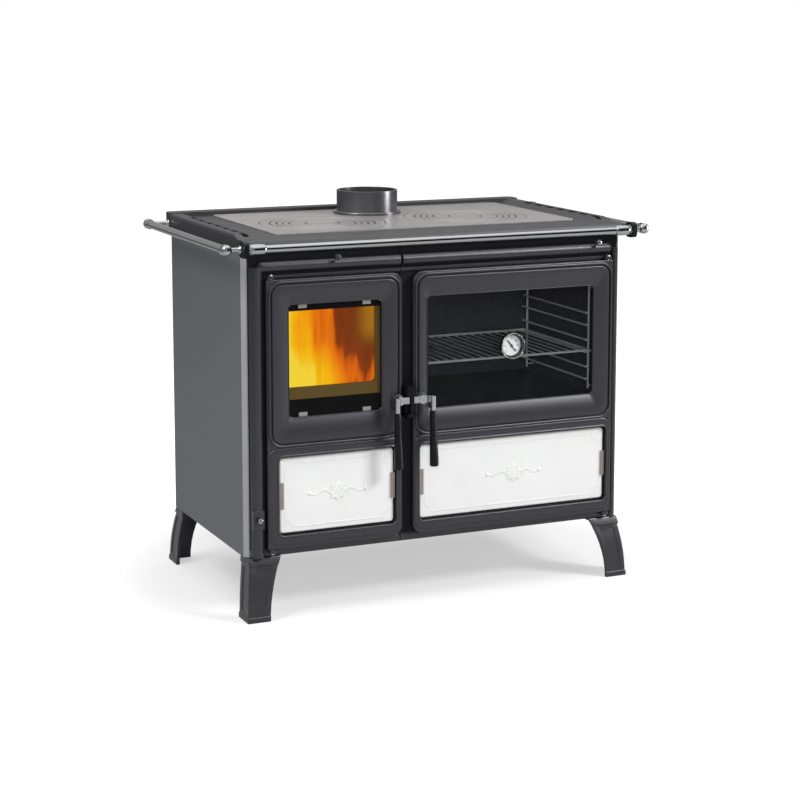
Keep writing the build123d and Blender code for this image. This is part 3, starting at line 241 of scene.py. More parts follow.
def quads(points, wrap_rows=False):
    """Face arrays of a grid whose columns close into loops; its rows close too, or end in flat caps."""
    rows, columns = points.shape[:2]
    number = np.arange(rows * columns).reshape(rows, columns)
    if wrap_rows:
        number = np.vstack([number, number[:1]])
    beside = np.roll(number, -1, axis=1)
    walls = np.stack([number[:-1], beside[:-1], beside[1:], number[1:]], -1).reshape(-1, 4)
    return [walls] if wrap_rows else [walls, number[:1], number[-1:]]


def lathe(profile, centre, axis, steps=48, wrap_rows=False):
    """Turned shape: each row of the profile is (way along the axis, radius), carried round the axis."""
    way, radius = np.array(profile, float).T
    axis = np.array(axis, float) / np.linalg.norm(axis)
    side = np.cross(axis, (0, 0, 1) if abs(axis[2]) < 0.9 else (1, 0, 0))
    side /= np.linalg.norm(side)
    turn = np.arange(steps) * 2 * np.pi / steps
    spoke = np.cos(turn)[:, None] * side + np.sin(turn)[:, None] * np.cross(axis, side)
    points = np.array(centre) + way[:, None, None] * axis + radius[:, None, None] * spoke
    return points, quads(points, wrap_rows)


def new_object(name, data):
    """A new object, linked into the scene."""
    thing = bpy.data.objects.new(name, data)
    bpy.context.scene.collection.objects.link(thing)
    return thing


def build(name, shells, material, body, nodes=(), flats=False):
    """One finished piece from several closed shells, each a grid of points and its face arrays."""
    faces, start = [], 0
    for points, blocks in shells:
        for block in blocks:
            faces += (block + start).tolist()
        start += points.reshape(-1, 3).shape[0]
    mesh = bpy.data.meshes.new(name)
    mesh.from_pydata(np.concatenate([points.reshape(-1, 3) for points, _ in shells]) / 1000, [], faces)
    mesh.materials.append(material)
    mesh.validate()
    shape = bmesh.new()
    shape.from_mesh(mesh)
    bmesh.ops.recalc_face_normals(shape, faces=shape.faces)
    shape.to_mesh(mesh)
    shape.free()
    mesh.shade_smooth()
    mesh.set_sharp_from_angle(angle=math.radians(50))
    piece = new_object(name, mesh)
    if flats:
        piece.modifiers.new("flats", "WEIGHTED_NORMAL").keep_sharp = True
    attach(piece, body)
    if nodes:
        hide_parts(*nodes)


plate_low, plate_high = corners("hob_plate")
seat_h = 6               # the step that a ring or a cap hangs by
seat_w = 10
shoulder = 3             # rounded shoulder at each seam
mark_half, mark_deep = 2.6, 2.0


def zone_profile(outer, inner, grooves):
    """Section of a ring, or of a cap where inner is 0: (height, radius) from its outer seat inwards."""
    under = plate_low[2] - plate_high[2]
    bend = np.linspace(0, np.pi / 2, 5)
    edge = np.stack([-shoulder * (1 - np.sin(bend)), outer - shoulder * (1 - np.cos(bend))], -1)
    dip = np.linspace(-1, 1, 9)
    rows = [(under, outer - seat_w), (-seat_h, outer - seat_w), (-seat_h, outer), *edge]
    for groove in grooves:
        rows += [*np.stack([-mark_deep * (1 - dip ** 2), groove - mark_half * dip], -1)]
    if inner:
        lip = np.stack([-shoulder * (1 - np.cos(bend)), inner + shoulder * (1 - np.sin(bend))], -1)
        rows += [*lip, (-seat_h, inner), (-seat_h, inner - seat_w), (under, inner - seat_w)]
    else:
        rows += [(0, 1)]
    return np.array(rows)


for side in ("left", "right"):
    (middle_x, _, _), (ring_r, _, _) = middle_half(f"{side}_hob_ring")
    cap_r = middle_half(f"{side}_hob_cap")[1][0]
    for part, steps, section in (("ring", 128, zone_profile(ring_r, cap_r + 0.4, (125, 109))),
                                 ("cap", 96, zone_profile(cap_r, 0, (79, 40)))):
        node = f"{side}_hob_{part}"
        shell = lathe(section, (middle_x, zone_y, zone_z), (0, 0, 1), steps, part == "ring")
        build(f"{side}_cooking_{part}", [shell], turned, node, [node])

# ------------ chrome rails
# Steel tube, polished and chrome plated. Each ferrule is turned: a barrel sleeve and a spool on the front
# rail, and a ball with a neck at each end of the side rails.
chrome = mottled("polished_chrome", ("#ABACAF", "#B5B6B8"), 40, 3.0, 0.004, (0.06, 0.12), 0.5, metal=1.0)
coat(chrome, "front_rail", "side_rails")

(_, rail_y, rail_z), (_, _, rail_r) = middle_half("front_rail")
ferrule_r = 12.5
end_high = corners("rail_ferrules")[1]
side_x = end_high[0] - ferrule_r
bracket_x = corners("rail_brackets")[1][0]
bracket_w = 12
rear_neck_x = 474.5      # the rear necks spring from the side of the hob, the front ones from the brackets
neck_in = 13             # from a ball end's free side to its neck
ball_over = 26           # what a side rail's ball end adds to its front
barrel_l = 36
band_l = 3.5

# A barrel swells towards its middle and ends in a rounded shoulder; the bore fits the rail.
barrel_way = np.array([0, 0, 1.2, 3, 8, 18, 28, 33, 34.8, barrel_l, barrel_l])
barrel_r = np.array([rail_r, 10.2, 11.3, 11.7, 12.2, ferrule_r, 12.2, 11.7, 11.3, 10.2, rail_r])
# A ball end, from its free side: the ball, a turned waist, and a bell-shaped collar that slips over the rail.
ball_way = np.array([0, 0.3, 1.5, 4, 7, 10.5, 14, 17, 19.5, 21, 21.8, 22.2, 22.8, 24.5, 27, 31, 34])
ball_r = np.array([0.1, 4, 7.5, 10.6, 12.1, ferrule_r, 12.1, 10.8, 9, 8.2, 8.2, 10.6, 12.2, 12.4, 11.9, 11.0,
                   10.4])
spool = [(0, rail_r), (0, 11.6), (0.6, ferrule_r), (1.4, ferrule_r), (1.75, 11.4), (2.1, ferrule_r),
         (2.9, ferrule_r), (band_l, 11.6), (band_l, rail_r)]
ball_front = corners("side_rails")[0][1] - ball_over

held_x = bracket_x - bracket_w     # the inner faces of the brackets
shells = []
for hand in (-1, 1):
    for profile, start_x in ((np.stack([barrel_way, barrel_r], -1), held_x - band_l - 1), (spool, held_x)):
        shells.append(lathe(profile, (hand * start_x, rail_y, rail_z), (-hand, 0, 0), wrap_rows=True))
    for free_y, into, neck_x in ((ball_front, 1, bracket_x), (end_high[1], -1, rear_neck_x)):
        shells.append(lathe(np.stack([ball_way, ball_r], -1), (hand * side_x, free_y, rail_z), (0, into, 0)))
        # A dished washer sits against the bracket or the hob, then a plain neck runs to the ball.
        neck = [(0, 9), (1.2, 9.2), (2.4, 8.6), (4, 6.6), (5.2, 5.6), (6.5, 5.2), (side_x - neck_x, 5.2)]
        shells.append(lathe(neck, (hand * neck_x, free_y + neck_in * into, rail_z), (hand, 0, 0)))
build("rail_ends", shells, chrome, "root", ["rail_ferrules"])

# ------------ legs
# Four L-shaped iron castings, mirrored from one pattern: a plinth, a collar and a sunk panel on each outer
# face, with the rounded edges that a casting has. They are coated like the front.
leg_low, leg_high = corners("leg_front_right")
leg_h = leg_high[2]
leg_wall = 7
plinth_out = 2
foot_x = leg_high[0] - plinth_out
foot_y = leg_low[1] + plinth_out
flare_x, flare_y = 15, 28          # the foot stands this far outside the top
foot_w, top_w, foot_d, top_d = 53, 73, 62, 55
border, sunk = 14, 2

# Heights of the sections with how far each stands out, and how deep its panel is sunk there.
leg_rows = np.array([
    (0, 1.2, 0), (1, 2, 0), (11, 2, 0), (12, 1.2, 0), (12.6, 0, 0), (18.2, 0, 0), (19.8, 0, 1), (40, 0, 1),
    (60, 0, 1), (80, 0, 1), (100, 0, 1), (116.2, 0, 1), (117.8, 0, 0), (123.4, 0, 0), (124, 1.6, 0),
    (126, 3, 0), (140, 3, 0), (142, 2.2, 0)])
height, out, deep = leg_rows.T
share = (height / leg_h) ** 2
x1 = foot_x - flare_x * share
y0 = foot_y + flare_y * share
x0 = x1 - foot_w - (top_w - foot_w) * share
y1 = y0 + foot_d + (top_d - foot_d) * share

# One section is a closed row of points: along the front, round the corner, along the side and back inside.
corner_r = 3
edge_r = 0.8
outer_y, outer_x = y0 - out, x1 + out
low = sunk * deep
front = [(x0 + edge_r, outer_y), (x0 + border - edge_r, outer_y), (x0 + border + edge_r, outer_y + low),
         (x1 - border - edge_r, outer_y + low), (x1 - border + edge_r, outer_y)]
bend = [(outer_x - corner_r * (1 - np.sin(turn)), outer_y + corner_r * (1 - np.cos(turn)))
        for turn in np.linspace(0, np.pi / 2, 5)]
flank = [(outer_x, y0 + border - edge_r), (outer_x - low, y0 + border + edge_r),
         (outer_x - low, y1 - border - edge_r), (outer_x, y1 - border + edge_r), (outer_x, y1 - edge_r)]
inside = [(outer_x - edge_r, y1), (x1 - leg_wall + edge_r, y1), (x1 - leg_wall, y1 - edge_r),
          (x1 - leg_wall, y0 + leg_wall + 2), (x1 - leg_wall - 2, y0 + leg_wall),
          (x0 + edge_r, y0 + leg_wall), (x0, y0 + leg_wall - edge_r), (x0, outer_y + edge_r)]
leg_points = np.array([(x, y, height) for x, y in front + bend + flank + inside]).transpose(2, 0, 1)
# The flange that the bolts pass through closes the corner under the body.
left, right, near, rear = x0[-1] + 2, x1[-1] - leg_wall + 1, y0[-1] + leg_wall - 1, y1[-1] - 2
flange = np.array([[(left, near, z), (right, near, z), (right, rear, z), (left, rear, z)]
                   for z in (leg_h - 6, leg_h)])
middle = np.array([0, (leg_low[1] + corners("leg_rear_right")[1][1]) / 2, 0])
for name, hand in (("leg_front_left", (-1, 1, 1)), ("leg_front_right", (1, 1, 1)),
                   ("leg_rear_left", (-1, -1, 1)), ("leg_rear_right", (1, -1, 1))):
    shells = [((grid - middle) * hand + middle, quads(grid)) for grid in (leg_points, flange)]
    build("cast_" + name, shells, cast_enamel, "root", [name], flats=True)

# ------------ doors
# Each door is one iron casting: a half-round bead and a groove run round its upper part, the panel rolls
# down to the window, and a rounded rim frames the tile below. The back is rebated for the glass.


def rect_row(x, z, radii, y=0):
    """Rounded rectangle, as a closed row of points at a depth; radii start low left and go anticlockwise."""
    quarter = np.linspace(0, np.pi / 2, 9)
    row = []
    for corner, radius in enumerate(radii):
        turn = quarter + np.pi * (1 + corner / 2)
        centre_x = x[0] + radius if corner in (0, 3) else x[1] - radius
        centre_z = z[0] + radius if corner < 2 else z[1] - radius
        row += [(centre_x + radius * np.cos(a), y, centre_z + radius * np.sin(a)) for a in turn]
    return np.array(row)


def grow(ends, amount):
    """A span made wider by the same amount at both ends."""
    return (ends[0] - amount, ends[1] + amount)


door_t = 17
free_r, square_r = 24, 2
bead_in, bead_w, bead_h, bead_r = 2.5, 6.5, 5, 36
groove_w, groove_deep = 3, 0.9
panel_h, panel_fall = 4, 9
window_r = 10
rebate, glass_set = 11.5, 5.5      # glass pocket past the window, and its depth from the door's back
tile_gap, recess_deep = 4, 12
rim_h = 4
rim_w = 26                         # above and below the tile
split_up = 228                     # the two parts of the casting meet this far above the door's foot
boss_r, boss_out = 14, 16


def door_casting(x, z, back, hinge, window_x, window_z, tile_x, tile_z, pivot):
    """Shells of one door: rows of rounded rectangles carried through the casting's profile."""
    face = back - door_t
    split = z[0] + split_up
    upper, lower = [], []
    # The edge wall and its small rounding; the side where the two parts meet is not drawn in.
    for inset, y in ((0, back), (0, face + 1.5), (0.45, face + 0.45), (1.5, face), (2.3, face)):
        radii = (free_r - inset, square_r) if hinge < 0 else (square_r, free_r - inset)
        wide = grow(x, -inset)
        upper.append(rect_row(wide, (split, z[1] - inset), (0.5, 0.5, *radii), y))
        lower.append(rect_row(wide, (z[0] + inset, split), (*radii[::-1], 0.5, 0.5), y))

    section_z = (split + 1.5, z[1])

    def inset_row(inset, y):
        return rect_row(grow(x, -inset), grow(section_z, -inset), [max(bead_r - inset, 1)] * 4, y)

    for angle in np.linspace(np.pi, 0, 11):
        inset = bead_in + bead_w / 2 * (1 + np.cos(angle))
        upper.append(inset_row(inset, face - bead_h * np.sin(angle) ** 0.8))
    after = bead_in + bead_w
    panel_in = after + groove_w
    for inset, y in ((after + 0.3, face + groove_deep), (panel_in - 0.3, face + groove_deep),
                     (panel_in, face - 1.5), (panel_in + 0.35, face - 2.9), (panel_in + 1.2, face - 3.7),
                     (panel_in + 2.5, face - panel_h)):
        upper.append(inset_row(inset, y))
    # The panel rolls over, slowly at first and then faster, down to the lip round the window.
    start_row = inset_row(panel_in + 2.5, 0)
    end_row = rect_row(grow(window_x, 2), grow(window_z, 2), [window_r + 2] * 4)
    for share in (0.12, 0.25, 0.4, 0.55, 0.68, 0.8, 0.9, 1.0):
        row = start_row + (end_row - start_row) * share
        row[:, 1] = face - panel_h + panel_fall * share ** 2.2
        upper.append(row)
    lip_y = face - panel_h + panel_fall
    for outset, y in ((1.8, lip_y - 0.7), (1.2, lip_y - 1.1), (0.5, lip_y - 0.8), (0, lip_y + 0.3),
                      (0, back - glass_set), (rebate, back - glass_set), (rebate, back)):
        upper.append(rect_row(grow(window_x, outset), grow(window_z, outset),
                              [window_r + min(outset, 2)] * 4, y))

    rim_row = rect_row(grow(x, -2.6), grow(tile_z, rim_w), [free_r] * 4)
    out = tile_gap + 5
    mouth_row = rect_row(grow(tile_x, out), grow(tile_z, out), [out + 7] * 4)
    for share, y in ((0, face), (0.04, face - 1.2), (0.12, face - 2.2), (0.3, face - 2.7), (0.6, face - 2.9),
                     (1.0, face - 2.4)):
        row = rim_row + (mouth_row - rim_row) * share
        row[:, 1] = y
        lower.append(row)
    for outset, y in ((4.6, face - 2.7), (4.0, face - 3.6), (2.9, face - rim_h), (1.6, face - rim_h),
                      (0.5, face - 3.4), (0, face - 2.2), (0, face + recess_deep)):
        out = tile_gap + outset
        lower.append(rect_row(grow(tile_x, out), grow(tile_z, out), [out + 8] * 4, y))
    upper, lower = np.array(upper), np.array(lower)
    boss = [(-2, boss_r), (boss_out - 2.6, boss_r), (boss_out - 1.2, boss_r - 0.4),
            (boss_out - 0.3, boss_r - 1.4), (boss_out, boss_r - 2.8)]
    boss_shell = lathe(boss, (pivot[0], face, pivot[1]), (0, -1, 0))
    return [(upper, quads(upper, wrap_rows=True)), (lower, quads(lower)), boss_shell]


def span(node, axis):
    """How far a CAD node reaches along an axis, in millimetres."""
    return tuple(corner[axis] for corner in corners(node))


glass_lap = 10
pivot_up = 319.5                   # the latch shaft, above the door's foot
for side, hinge, pivot_in in (("fire", -1, 14), ("oven", 1, 14.5)):
    low, high = corners(f"{side}_door")
    pivot = (high[0] - pivot_in if hinge < 0 else low[0] + pivot_in, low[2] + pivot_up)
    window = [grow(span(f"{side}_door_glass", axis), -glass_lap) for axis in (0, 2)]
    tile = [span(f"{side}_door_tile", axis) for axis in (0, 2)]
    shells = door_casting((low[0], high[0]), (low[2], high[2]), high[1], hinge, *window, *tile, pivot)
    build(f"{side}_door_casting", shells, cast_enamel, f"{side}_door", [f"{side}_door"], flats=True)

# ------------ door tiles
# Pressed earthenware tiles with a thick glossy white glaze. A fine raised line runs round each, and a
# rosette between two tendrils stands in the middle, all softened by the glaze that pools beside it.
relief_h = 1.7
line_in, line_w = 13, 1.5
notch = 17
rosette_r = 22
petals = 8
tendril_l = 44           # from the rosette's edge to the bud at a tendril's end
bud_r = 4.2


def tile_relief(x, z, width, height):
    """Height of the relief at each point: a thin line at a fixed distance in, a rosette and two tendrils.

    x and z are measured from the tile's middle.
    """
    dx = width / 2 - np.abs(x)
    dz = height / 2 - np.abs(z)
    # The line follows an inset rectangle whose corners are cut back by a quarter circle.
    to_line = np.minimum(dx - line_in, dz - line_in)
    to_notch = np.hypot(dx - line_in, dz - line_in) - notch
    line = 0.45 * np.exp(-(np.minimum(to_line, to_notch) / line_w) ** 2)
    # Petals: the outline swells and shrinks eight times round, and each petal is hollowed along its middle.
    angle, radius = np.arctan2(z, x), np.hypot(x, z)
    outline = rosette_r * (0.72 + 0.28 * np.abs(np.cos(petals * angle / 2)))
    petal = 1 / (1 + np.exp((radius - outline) / 0.6)) * (0.55 + 0.45 * np.abs(np.sin(petals * angle / 2)))
    heart = 1 / (1 + np.exp((radius - 5) / 0.5))
    shape = np.maximum(petal, heart)
    # A tendril is a shallow wave that thins out towards its tip and ends in a round bud.
    way = (np.abs(x) - rosette_r) / tendril_l
    stem_z = 4.5 * np.sin(2 * np.pi * way)
    on_stem = (way > -0.1) & (way < 1)
    shape = np.maximum(shape, 0.75 * np.exp(-((z - stem_z) / (1.9 - 0.7 * way)) ** 2) * on_stem)
    from_bud = np.hypot(np.abs(x) - rosette_r - tendril_l - bud_r / 2, z)
    shape = np.maximum(shape, 0.9 / (1 + np.exp((from_bud - bud_r) / 0.5)))
    return relief_h * np.maximum(line, shape)


def round_corners(x, z, half_x, half_z, radius):
    """Pull the corners of a rectangular grid into quarter circles, leaving the rest in place."""
    u = np.clip((np.abs(x) - (half_x - radius)) / radius, 0, 1)
    v = np.clip((np.abs(z) - (half_z - radius)) / radius, 0, 1)
    x = np.where(u * v > 0, np.sign(x) * (half_x - radius + radius * u * np.sqrt(1 - v ** 2 / 2)), x)
    z = np.where(u * v > 0, np.sign(z) * (half_z - radius + radius * v * np.sqrt(1 - u ** 2 / 2)), z)
    return x, z


def tile_shell(node, radius=8, pitch=1.4, edge=2.6):
    """Front and back of a tile on one grid: the front carries the relief and rolls over at its edge."""
    middle, half = middle_half(node)
    columns = int(2 * half[0] / pitch)
    rows = int(2 * half[2] / pitch)
    x, z = np.meshgrid(np.linspace(-half[0], half[0], columns), np.linspace(-half[2], half[2], rows))
    x, z = round_corners(x, z, half[0], half[2], radius)
    # Distance in from the rounded outline.
    corner_x, corner_z = np.abs(x) - (half[0] - radius), np.abs(z) - (half[2] - radius)
    beyond = np.hypot(np.maximum(corner_x, 0), np.maximum(corner_z, 0))
    inward = radius - beyond - np.minimum(np.maximum(corner_x, corner_z), 0)
    roll = edge - np.sqrt(np.clip(edge ** 2 - np.clip(edge - inward, 0, edge) ** 2, 0, None))
    front_y = middle[1] - half[1] + relief_h + roll - tile_relief(x, z, 2 * half[0], 2 * half[2])
    front = np.stack([middle[0] + x, front_y, middle[2] + z], -1)
    back = np.stack([middle[0] + x, np.full_like(x, middle[1] + half[1]), middle[2] + z], -1)
    grid = np.concatenate([front.reshape(-1, 3), back.reshape(-1, 3)])
    number = np.arange(rows * columns).reshape(rows, columns)
    squares = np.stack([number[:-1, :-1], number[:-1, 1:], number[1:, 1:], number[1:, :-1]], -1).reshape(-1, 4)
    rim = np.concatenate([number[0, :-1], number[:-1, -1], number[-1, :0:-1], number[:0:-1, 0]])
    ahead = np.roll(rim, -1)
    total = rows * columns
    wall = np.stack([rim, rim + total, ahead + total, ahead], -1)
    return grid, [squares, squares[:, ::-1] + total, wall]


# Opaque tin-white glaze over pale clay: very smooth.
white_glaze, add, shader, point = new_material("white_tile_glaze", {
    "Roughness": 0.12, "Coat Weight": 0.5, "Coat Roughness": 0.04})
wave = add("TexNoise", {"Vector": point, "Scale": 1000 / 16, "Detail": 1.0})
feed(shader, {"Base Color": drifting(add, point, ("#C2C3C2", "#CACBCA"), 70, 2.0),
              "Normal": add("Bump", {"Height": wave, "Distance": 0.00012})})
for side in ("fire", "oven"):
    build(f"{side}_tile_relief", [tile_shell(f"{side}_door_tile")], white_glaze, f"{side}_door",
          [f"{side}_door_tile"])

# The clips that hold the tiles and the glass are bent from plain steel strip and have dulled in the heat.
strip_steel = mottled("dulled_strip_steel", ("#7C716C", "#8C827C"), 8, 0.8, 0.01, (0.38, 0.5), 0.4, metal=0.4)
glass_clip_steel = mottled("bright_strip_steel", ("#83817D", "#918F8B"), 8, 0.8, 0.01, (0.3, 0.42), 0.4,
                           metal=0.5)
coat(strip_steel, "fire_tile_clips", "oven_tile_clips")
coat(glass_clip_steel, "fire_glass_clips")

# ------------ door seals
# Knitted glass-fibre rope, pressed nearly flat into a channel behind each door. It is soft, charcoal grey
# and dusty, with the slanting stitches of a round knit.
stitch_l = 6
rope_w = 8


def rope_ring(node):
    """An oval section carried round a rounded rectangle, with slanting stitches as a wave in its width."""
    (_, middle_y, _), (_, half_y, _) = middle_half(node)
    path = rect_row(grow(span(node, 0), -rope_w / 2), grow(span(node, 2), -rope_w / 2), [12] * 4)[:, ::2]
    closed = np.vstack([path, path[:1]])
    travel = np.concatenate([[0], np.cumsum(np.hypot(*np.diff(closed, axis=0).T))])
    way = np.linspace(0, travel[-1], 900, endpoint=False)
    line = np.stack([np.interp(way, travel, closed[:, axis]) for axis in (0, 1)], -1)
    ahead = np.roll(line, -1, axis=0) - np.roll(line, 1, axis=0)
    outward_way = np.stack([ahead[:, 1], -ahead[:, 0]], -1) / np.linalg.norm(ahead, axis=1)[:, None]
    turn = np.arange(14) * 2 * np.pi / 14
    swell = 1 - 0.07 * (1 + np.sin(2 * np.pi * way[:, None] / stitch_l + 2 * turn))
    across = rope_w / 2 * np.cos(turn) * swell
    points = np.stack([line[:, :1] + outward_way[:, :1] * across, middle_y + half_y * np.sin(turn) * swell,
                       line[:, 1:] + outward_way[:, 1:] * across], -1)
    return points, quads(points, wrap_rows=True)


rope, add, shader, point = new_material("knitted_glass_rope", {"Roughness": 0.95, "Sheen Weight": 0.3})
knit = add("TexVoronoi", {"Vector": point, "Scale": 1000 / 1.5})
shade = add("MixRGB", {"Fac": knit, "Color1": linear("#4A4A48"), "Color2": linear("#232322")})
feed(shader, {"Base Color": shade, "Normal": add("Bump", {"Height": knit, "Distance": 0.0004})})
for side in ("fire", "oven"):
    build(f"{side}_rope_seal", [rope_ring(f"{side}_door_seal")], rope, f"{side}_door", [f"{side}_door_seal"])

# ------------ firebox, its fire and its glass
# A steel shell with pressed vermiculite slabs at the back and sides, an iron grate and a baffle. A fire
# burns in it: two charred logs, and a curtain of flame ahead of them.
vermiculite = mottled("pressed_vermiculite", ("#8A7455", "#B29C78"), 14, 2.2, 0.35, (0.85, 0.95), edge=1.5)
rough_iron = mottled("bare_cast_iron", ("#2A2624", "#3A3431"), 20, 1.4, 0.12, (0.6, 0.75), edge=1.2)
coat(vermiculite, "firebrick_rear", "firebrick_sides", "smoke_baffle")
coat(rough_iron, "fire_grate")
coat(heatproof_paint, "firebox_shell", "ash_drawer")

window_x, window_z = [grow(span("fire_door_glass", axis), -glass_lap) for axis in (0, 2)]
grate_top = corners("fire_grate")[1][2]
inside_x = grow(span("firebrick_sides", 0), -32)      # just clear of the slabs, which are 30 thick

# Logs: rough cylinders whose radius wanders round and along, charred black with glowing cracks.
log_steps = 40
way = np.linspace(0, 1, 60)


def log_shell(start, end, radius, phase):
    """A turned bar from start to end, whose radius is then swayed by waves round it."""
    start, end = np.array(start, float), np.array(end, float)
    knots = 1 + 0.05 * np.sin(9 * way + phase) + 0.02 * np.sin(31 * way)
    tips = np.clip(np.minimum(way, 1 - way) * 40, 0.5, 1)
    length = np.linalg.norm(end - start)
    points, faces = lathe(np.stack([way * length, radius * knots * tips], -1), start, end - start, log_steps)
    turn = np.arange(log_steps) * 2 * np.pi / log_steps
    bark = 1 + 0.06 * np.sin(5 * turn + phase) + 0.03 * np.sin(11 * turn + 2 * phase)
    core = (start + (end - start) * way[:, None])[:, None]
    return core + (points - core) * bark[:, None], faces


log_z = grate_top + 33             # the logs lie on the grate
logs = [log_shell((inside_x[0] + 6, -180, log_z), (inside_x[1] - 10, -150, log_z + 3), 30, 0.4),
        log_shell((inside_x[0] + 20, -60, log_z + 4), (inside_x[1] - 24, -95, log_z), 32, 2.1)]
char, add, shader, point = new_material("charred_log", {"Roughness": 0.9, "Emission Strength": 1.2})
cracks = add("TexVoronoi", {"Vector": point, "Scale": 1000 / 22}, feature="DISTANCE_TO_EDGE")
glow = add("ValToRGB", {"Fac": cracks})
glow.color_ramp.elements[0].color = linear("#FF7A1E")
glow.color_ramp.elements[1].color = linear("#000000")
glow.color_ramp.elements[1].position = 0.09
feed(shader, {"Base Color": drifting(add, point, ("#120D0A", "#4A3A2C"), 12, 4.0), "Emission Color": glow,
              "Normal": add("Bump", {"Height": cracks, "Distance": 0.004})})
build("burning_logs", logs, char, "root")

# The flame curtain: a wavy upright sheet ahead of the logs, thin as a real sheet of burning gas.
flame_x = (inside_x[0] + 2, inside_x[1] - 2)
flame_z = (grate_top + 24, window_z[1] + 18)
flame_y = -226
across, up = np.meshgrid(np.linspace(0, 1, 70), np.linspace(0, 1, 50))
lick = 6 * np.sin(11 * across + 3 * up) + 3 * np.sin(23 * across - 5 * up)
sheet = np.stack([flame_x[0] + (flame_x[1] - flame_x[0]) * across, flame_y + lick * (0.3 + up),
                  flame_z[0] + (flame_z[1] - flame_z[0]) * up], -1)
loop = np.concatenate([sheet, (sheet + (0, 1.5, 0))[:, ::-1]], axis=1)

# Burning wood gas, yellow where it is thick and low, orange in the middle and red-brown towards its cooler
# side, drawn out in tongues that lean with the draught.
flame, add, shader, point = new_material("wood_flame", {"Base Color": (0, 0, 0, 1), "Roughness": 1.0,
                                                       "Emission Strength": 1.25})
tongues = add("Mapping", {"Vector": point, "Scale": (1, 1, 0.14), "Rotation": (0, 0.15, 0)})
streak = add("TexNoise", {"Vector": tongues, "Scale": 1000 / 40, "Detail": 3.0, "Distortion": 0.5})
place = add("SeparateXYZ", {"Vector": point})
# The gas cools from left to right and with height; on the right, above the embers, the sheet carries a painted
# glow of the fire-lit brick behind it.
masks = {}
for name, axis, start, end, low, high, way in (
        ("cool", "X", window_x[0] + 20, window_x[0] + 200, 0.95, 0.10, "LINEAR"),
        ("embers", "Z", window_z[0] + 75, window_z[0] + 155, 0.30, 0.0, "LINEAR"),
        ("amber_x", "X", window_x[1] - 55, window_x[1] - 10, 0.0, 1.0, "SMOOTHSTEP"),
        ("amber_z", "Z", window_z[0] + 130, window_z[0] + 190, 0.0, 1.0, "SMOOTHSTEP")):
    masks[name] = add("MapRange", {"Value": place.outputs[axis], "From Min": start / 1000,
                                   "From Max": end / 1000, "To Min": low, "To Max": high},
                      interpolation_type=way)
stir = add("MapRange", {"Value": streak, "From Min": 0.25, "From Max": 0.75, "To Min": -0.22, "To Max": 0.22})
warm = add("Math", {0: masks["cool"], 1: masks["embers"]}, operation="ADD")
heat = add("Math", {0: warm, 1: stir}, operation="ADD")
ramp = add("ValToRGB", {"Fac": heat})
flame_shades = ((0.0, "#5C3014"), (0.22, "#7A3A18"), (0.36, "#8A3D14"), (0.46, "#E06A10"), (0.60, "#F58A10"),
                (0.74, "#FCA912"), (0.86, "#FFC60F"), (1.0, "#FFE346"))
while len(ramp.color_ramp.elements) < len(flame_shades):
    ramp.color_ramp.elements.new(0.5)
for stop, (position, code) in zip(ramp.color_ramp.elements, flame_shades):
    stop.position = position
    stop.color = linear(code)
# Painted light: the amber of the fire-lit brick, emitted by the flame sheet.
amber_at = add("Math", {0: masks["amber_x"], 1: masks["amber_z"]}, operation="MULTIPLY")
glowing = add("MixRGB", {"Fac": amber_at, "Color1": ramp, "Color2": linear("#A8741F")})
feed(shader, {"Emission Color": glowing})
build("flame_curtain", [(loop, quads(loop))], flame, "root")

# Ceramic glass lets most light straight through and mirrors a little of the room. The fire glass has a
# black fired-on border. The air wash keeps its middle clean, and an amber film of soot stays at its foot
# and along its right side.


def ceramic_glass(name, tint, border=None, clean=None):
    """Clear glass as a thin sheet: mostly clear, with a mirror that grows as the view turns along it.

    border and clean are ((left, right), (low, high)) in millimetres: the inside of the black border, and
    the part that the air wash keeps clean, whose corners are rounded.
    """
    material, add, shader, point = new_material(name, {"Base Color": linear("#0B0C0D"), "Roughness": 0.04})
    output = material.node_tree.nodes["Material Output"]
    facing = add("Fresnel", {"IOR": 1.5})
    sheen = add("MapRange", {"Value": facing, "To Min": 0.03, "To Max": 1.0})
    pane = add("BsdfTransparent", {"Color": linear(tint)})
    if not border:
        feed(output, {"Surface": add("MixShader", {0: sheen, 1: pane, 2: shader})})
        return material
    place = add("SeparateXYZ", {"Vector": point})

    def outside(rectangle, radius):
        """How far a point lies outside a rectangle drawn in by the radius."""
        past = {}
        for axis, (low, high) in zip("XZ", rectangle):
            away = add("Math", {0: place.outputs[axis], 1: (low + high) / 2000}, operation="SUBTRACT")
            size = add("Math", {0: away}, operation="ABSOLUTE")
            left = add("Math", {0: size, 1: (high - low) / 2000 - radius}, operation="SUBTRACT")
            past[axis] = add("Math", {0: left, 1: 0.0}, operation="MAXIMUM")
        return add("VectorMath", {0: add("CombineXYZ", past)}, operation="LENGTH")

    wash_r = 0.010                 # metres, like every distance inside a material
    filmed = add("MapRange", {"Value": outside(clean, wash_r), "From Min": wash_r, "From Max": wash_r + 0.0012})
    film = add("BsdfTransparent", {"Color": linear("#6A5A28")})
    haze = add("BsdfPrincipled", {"Base Color": linear("#6A5624"), "Roughness": 0.7})
    smoked = add("MixShader", {0: 0.4, 1: film, 2: haze})
    pane = add("MixShader", {0: filmed, 1: pane, 2: smoked})
    printed = add("Math", {0: outside(border, 0), 1: 0.0}, operation="GREATER_THAN")
    black = add("BsdfPrincipled", {"Base Color": linear("#060607"), "Roughness": 0.3,
                                   "Specular IOR Level": 0.1})
    glazed = add("MixShader", {0: sheen, 1: pane, 2: shader})
    feed(output, {"Surface": add("MixShader", {0: printed, 1: glazed, 2: black})})
    return material


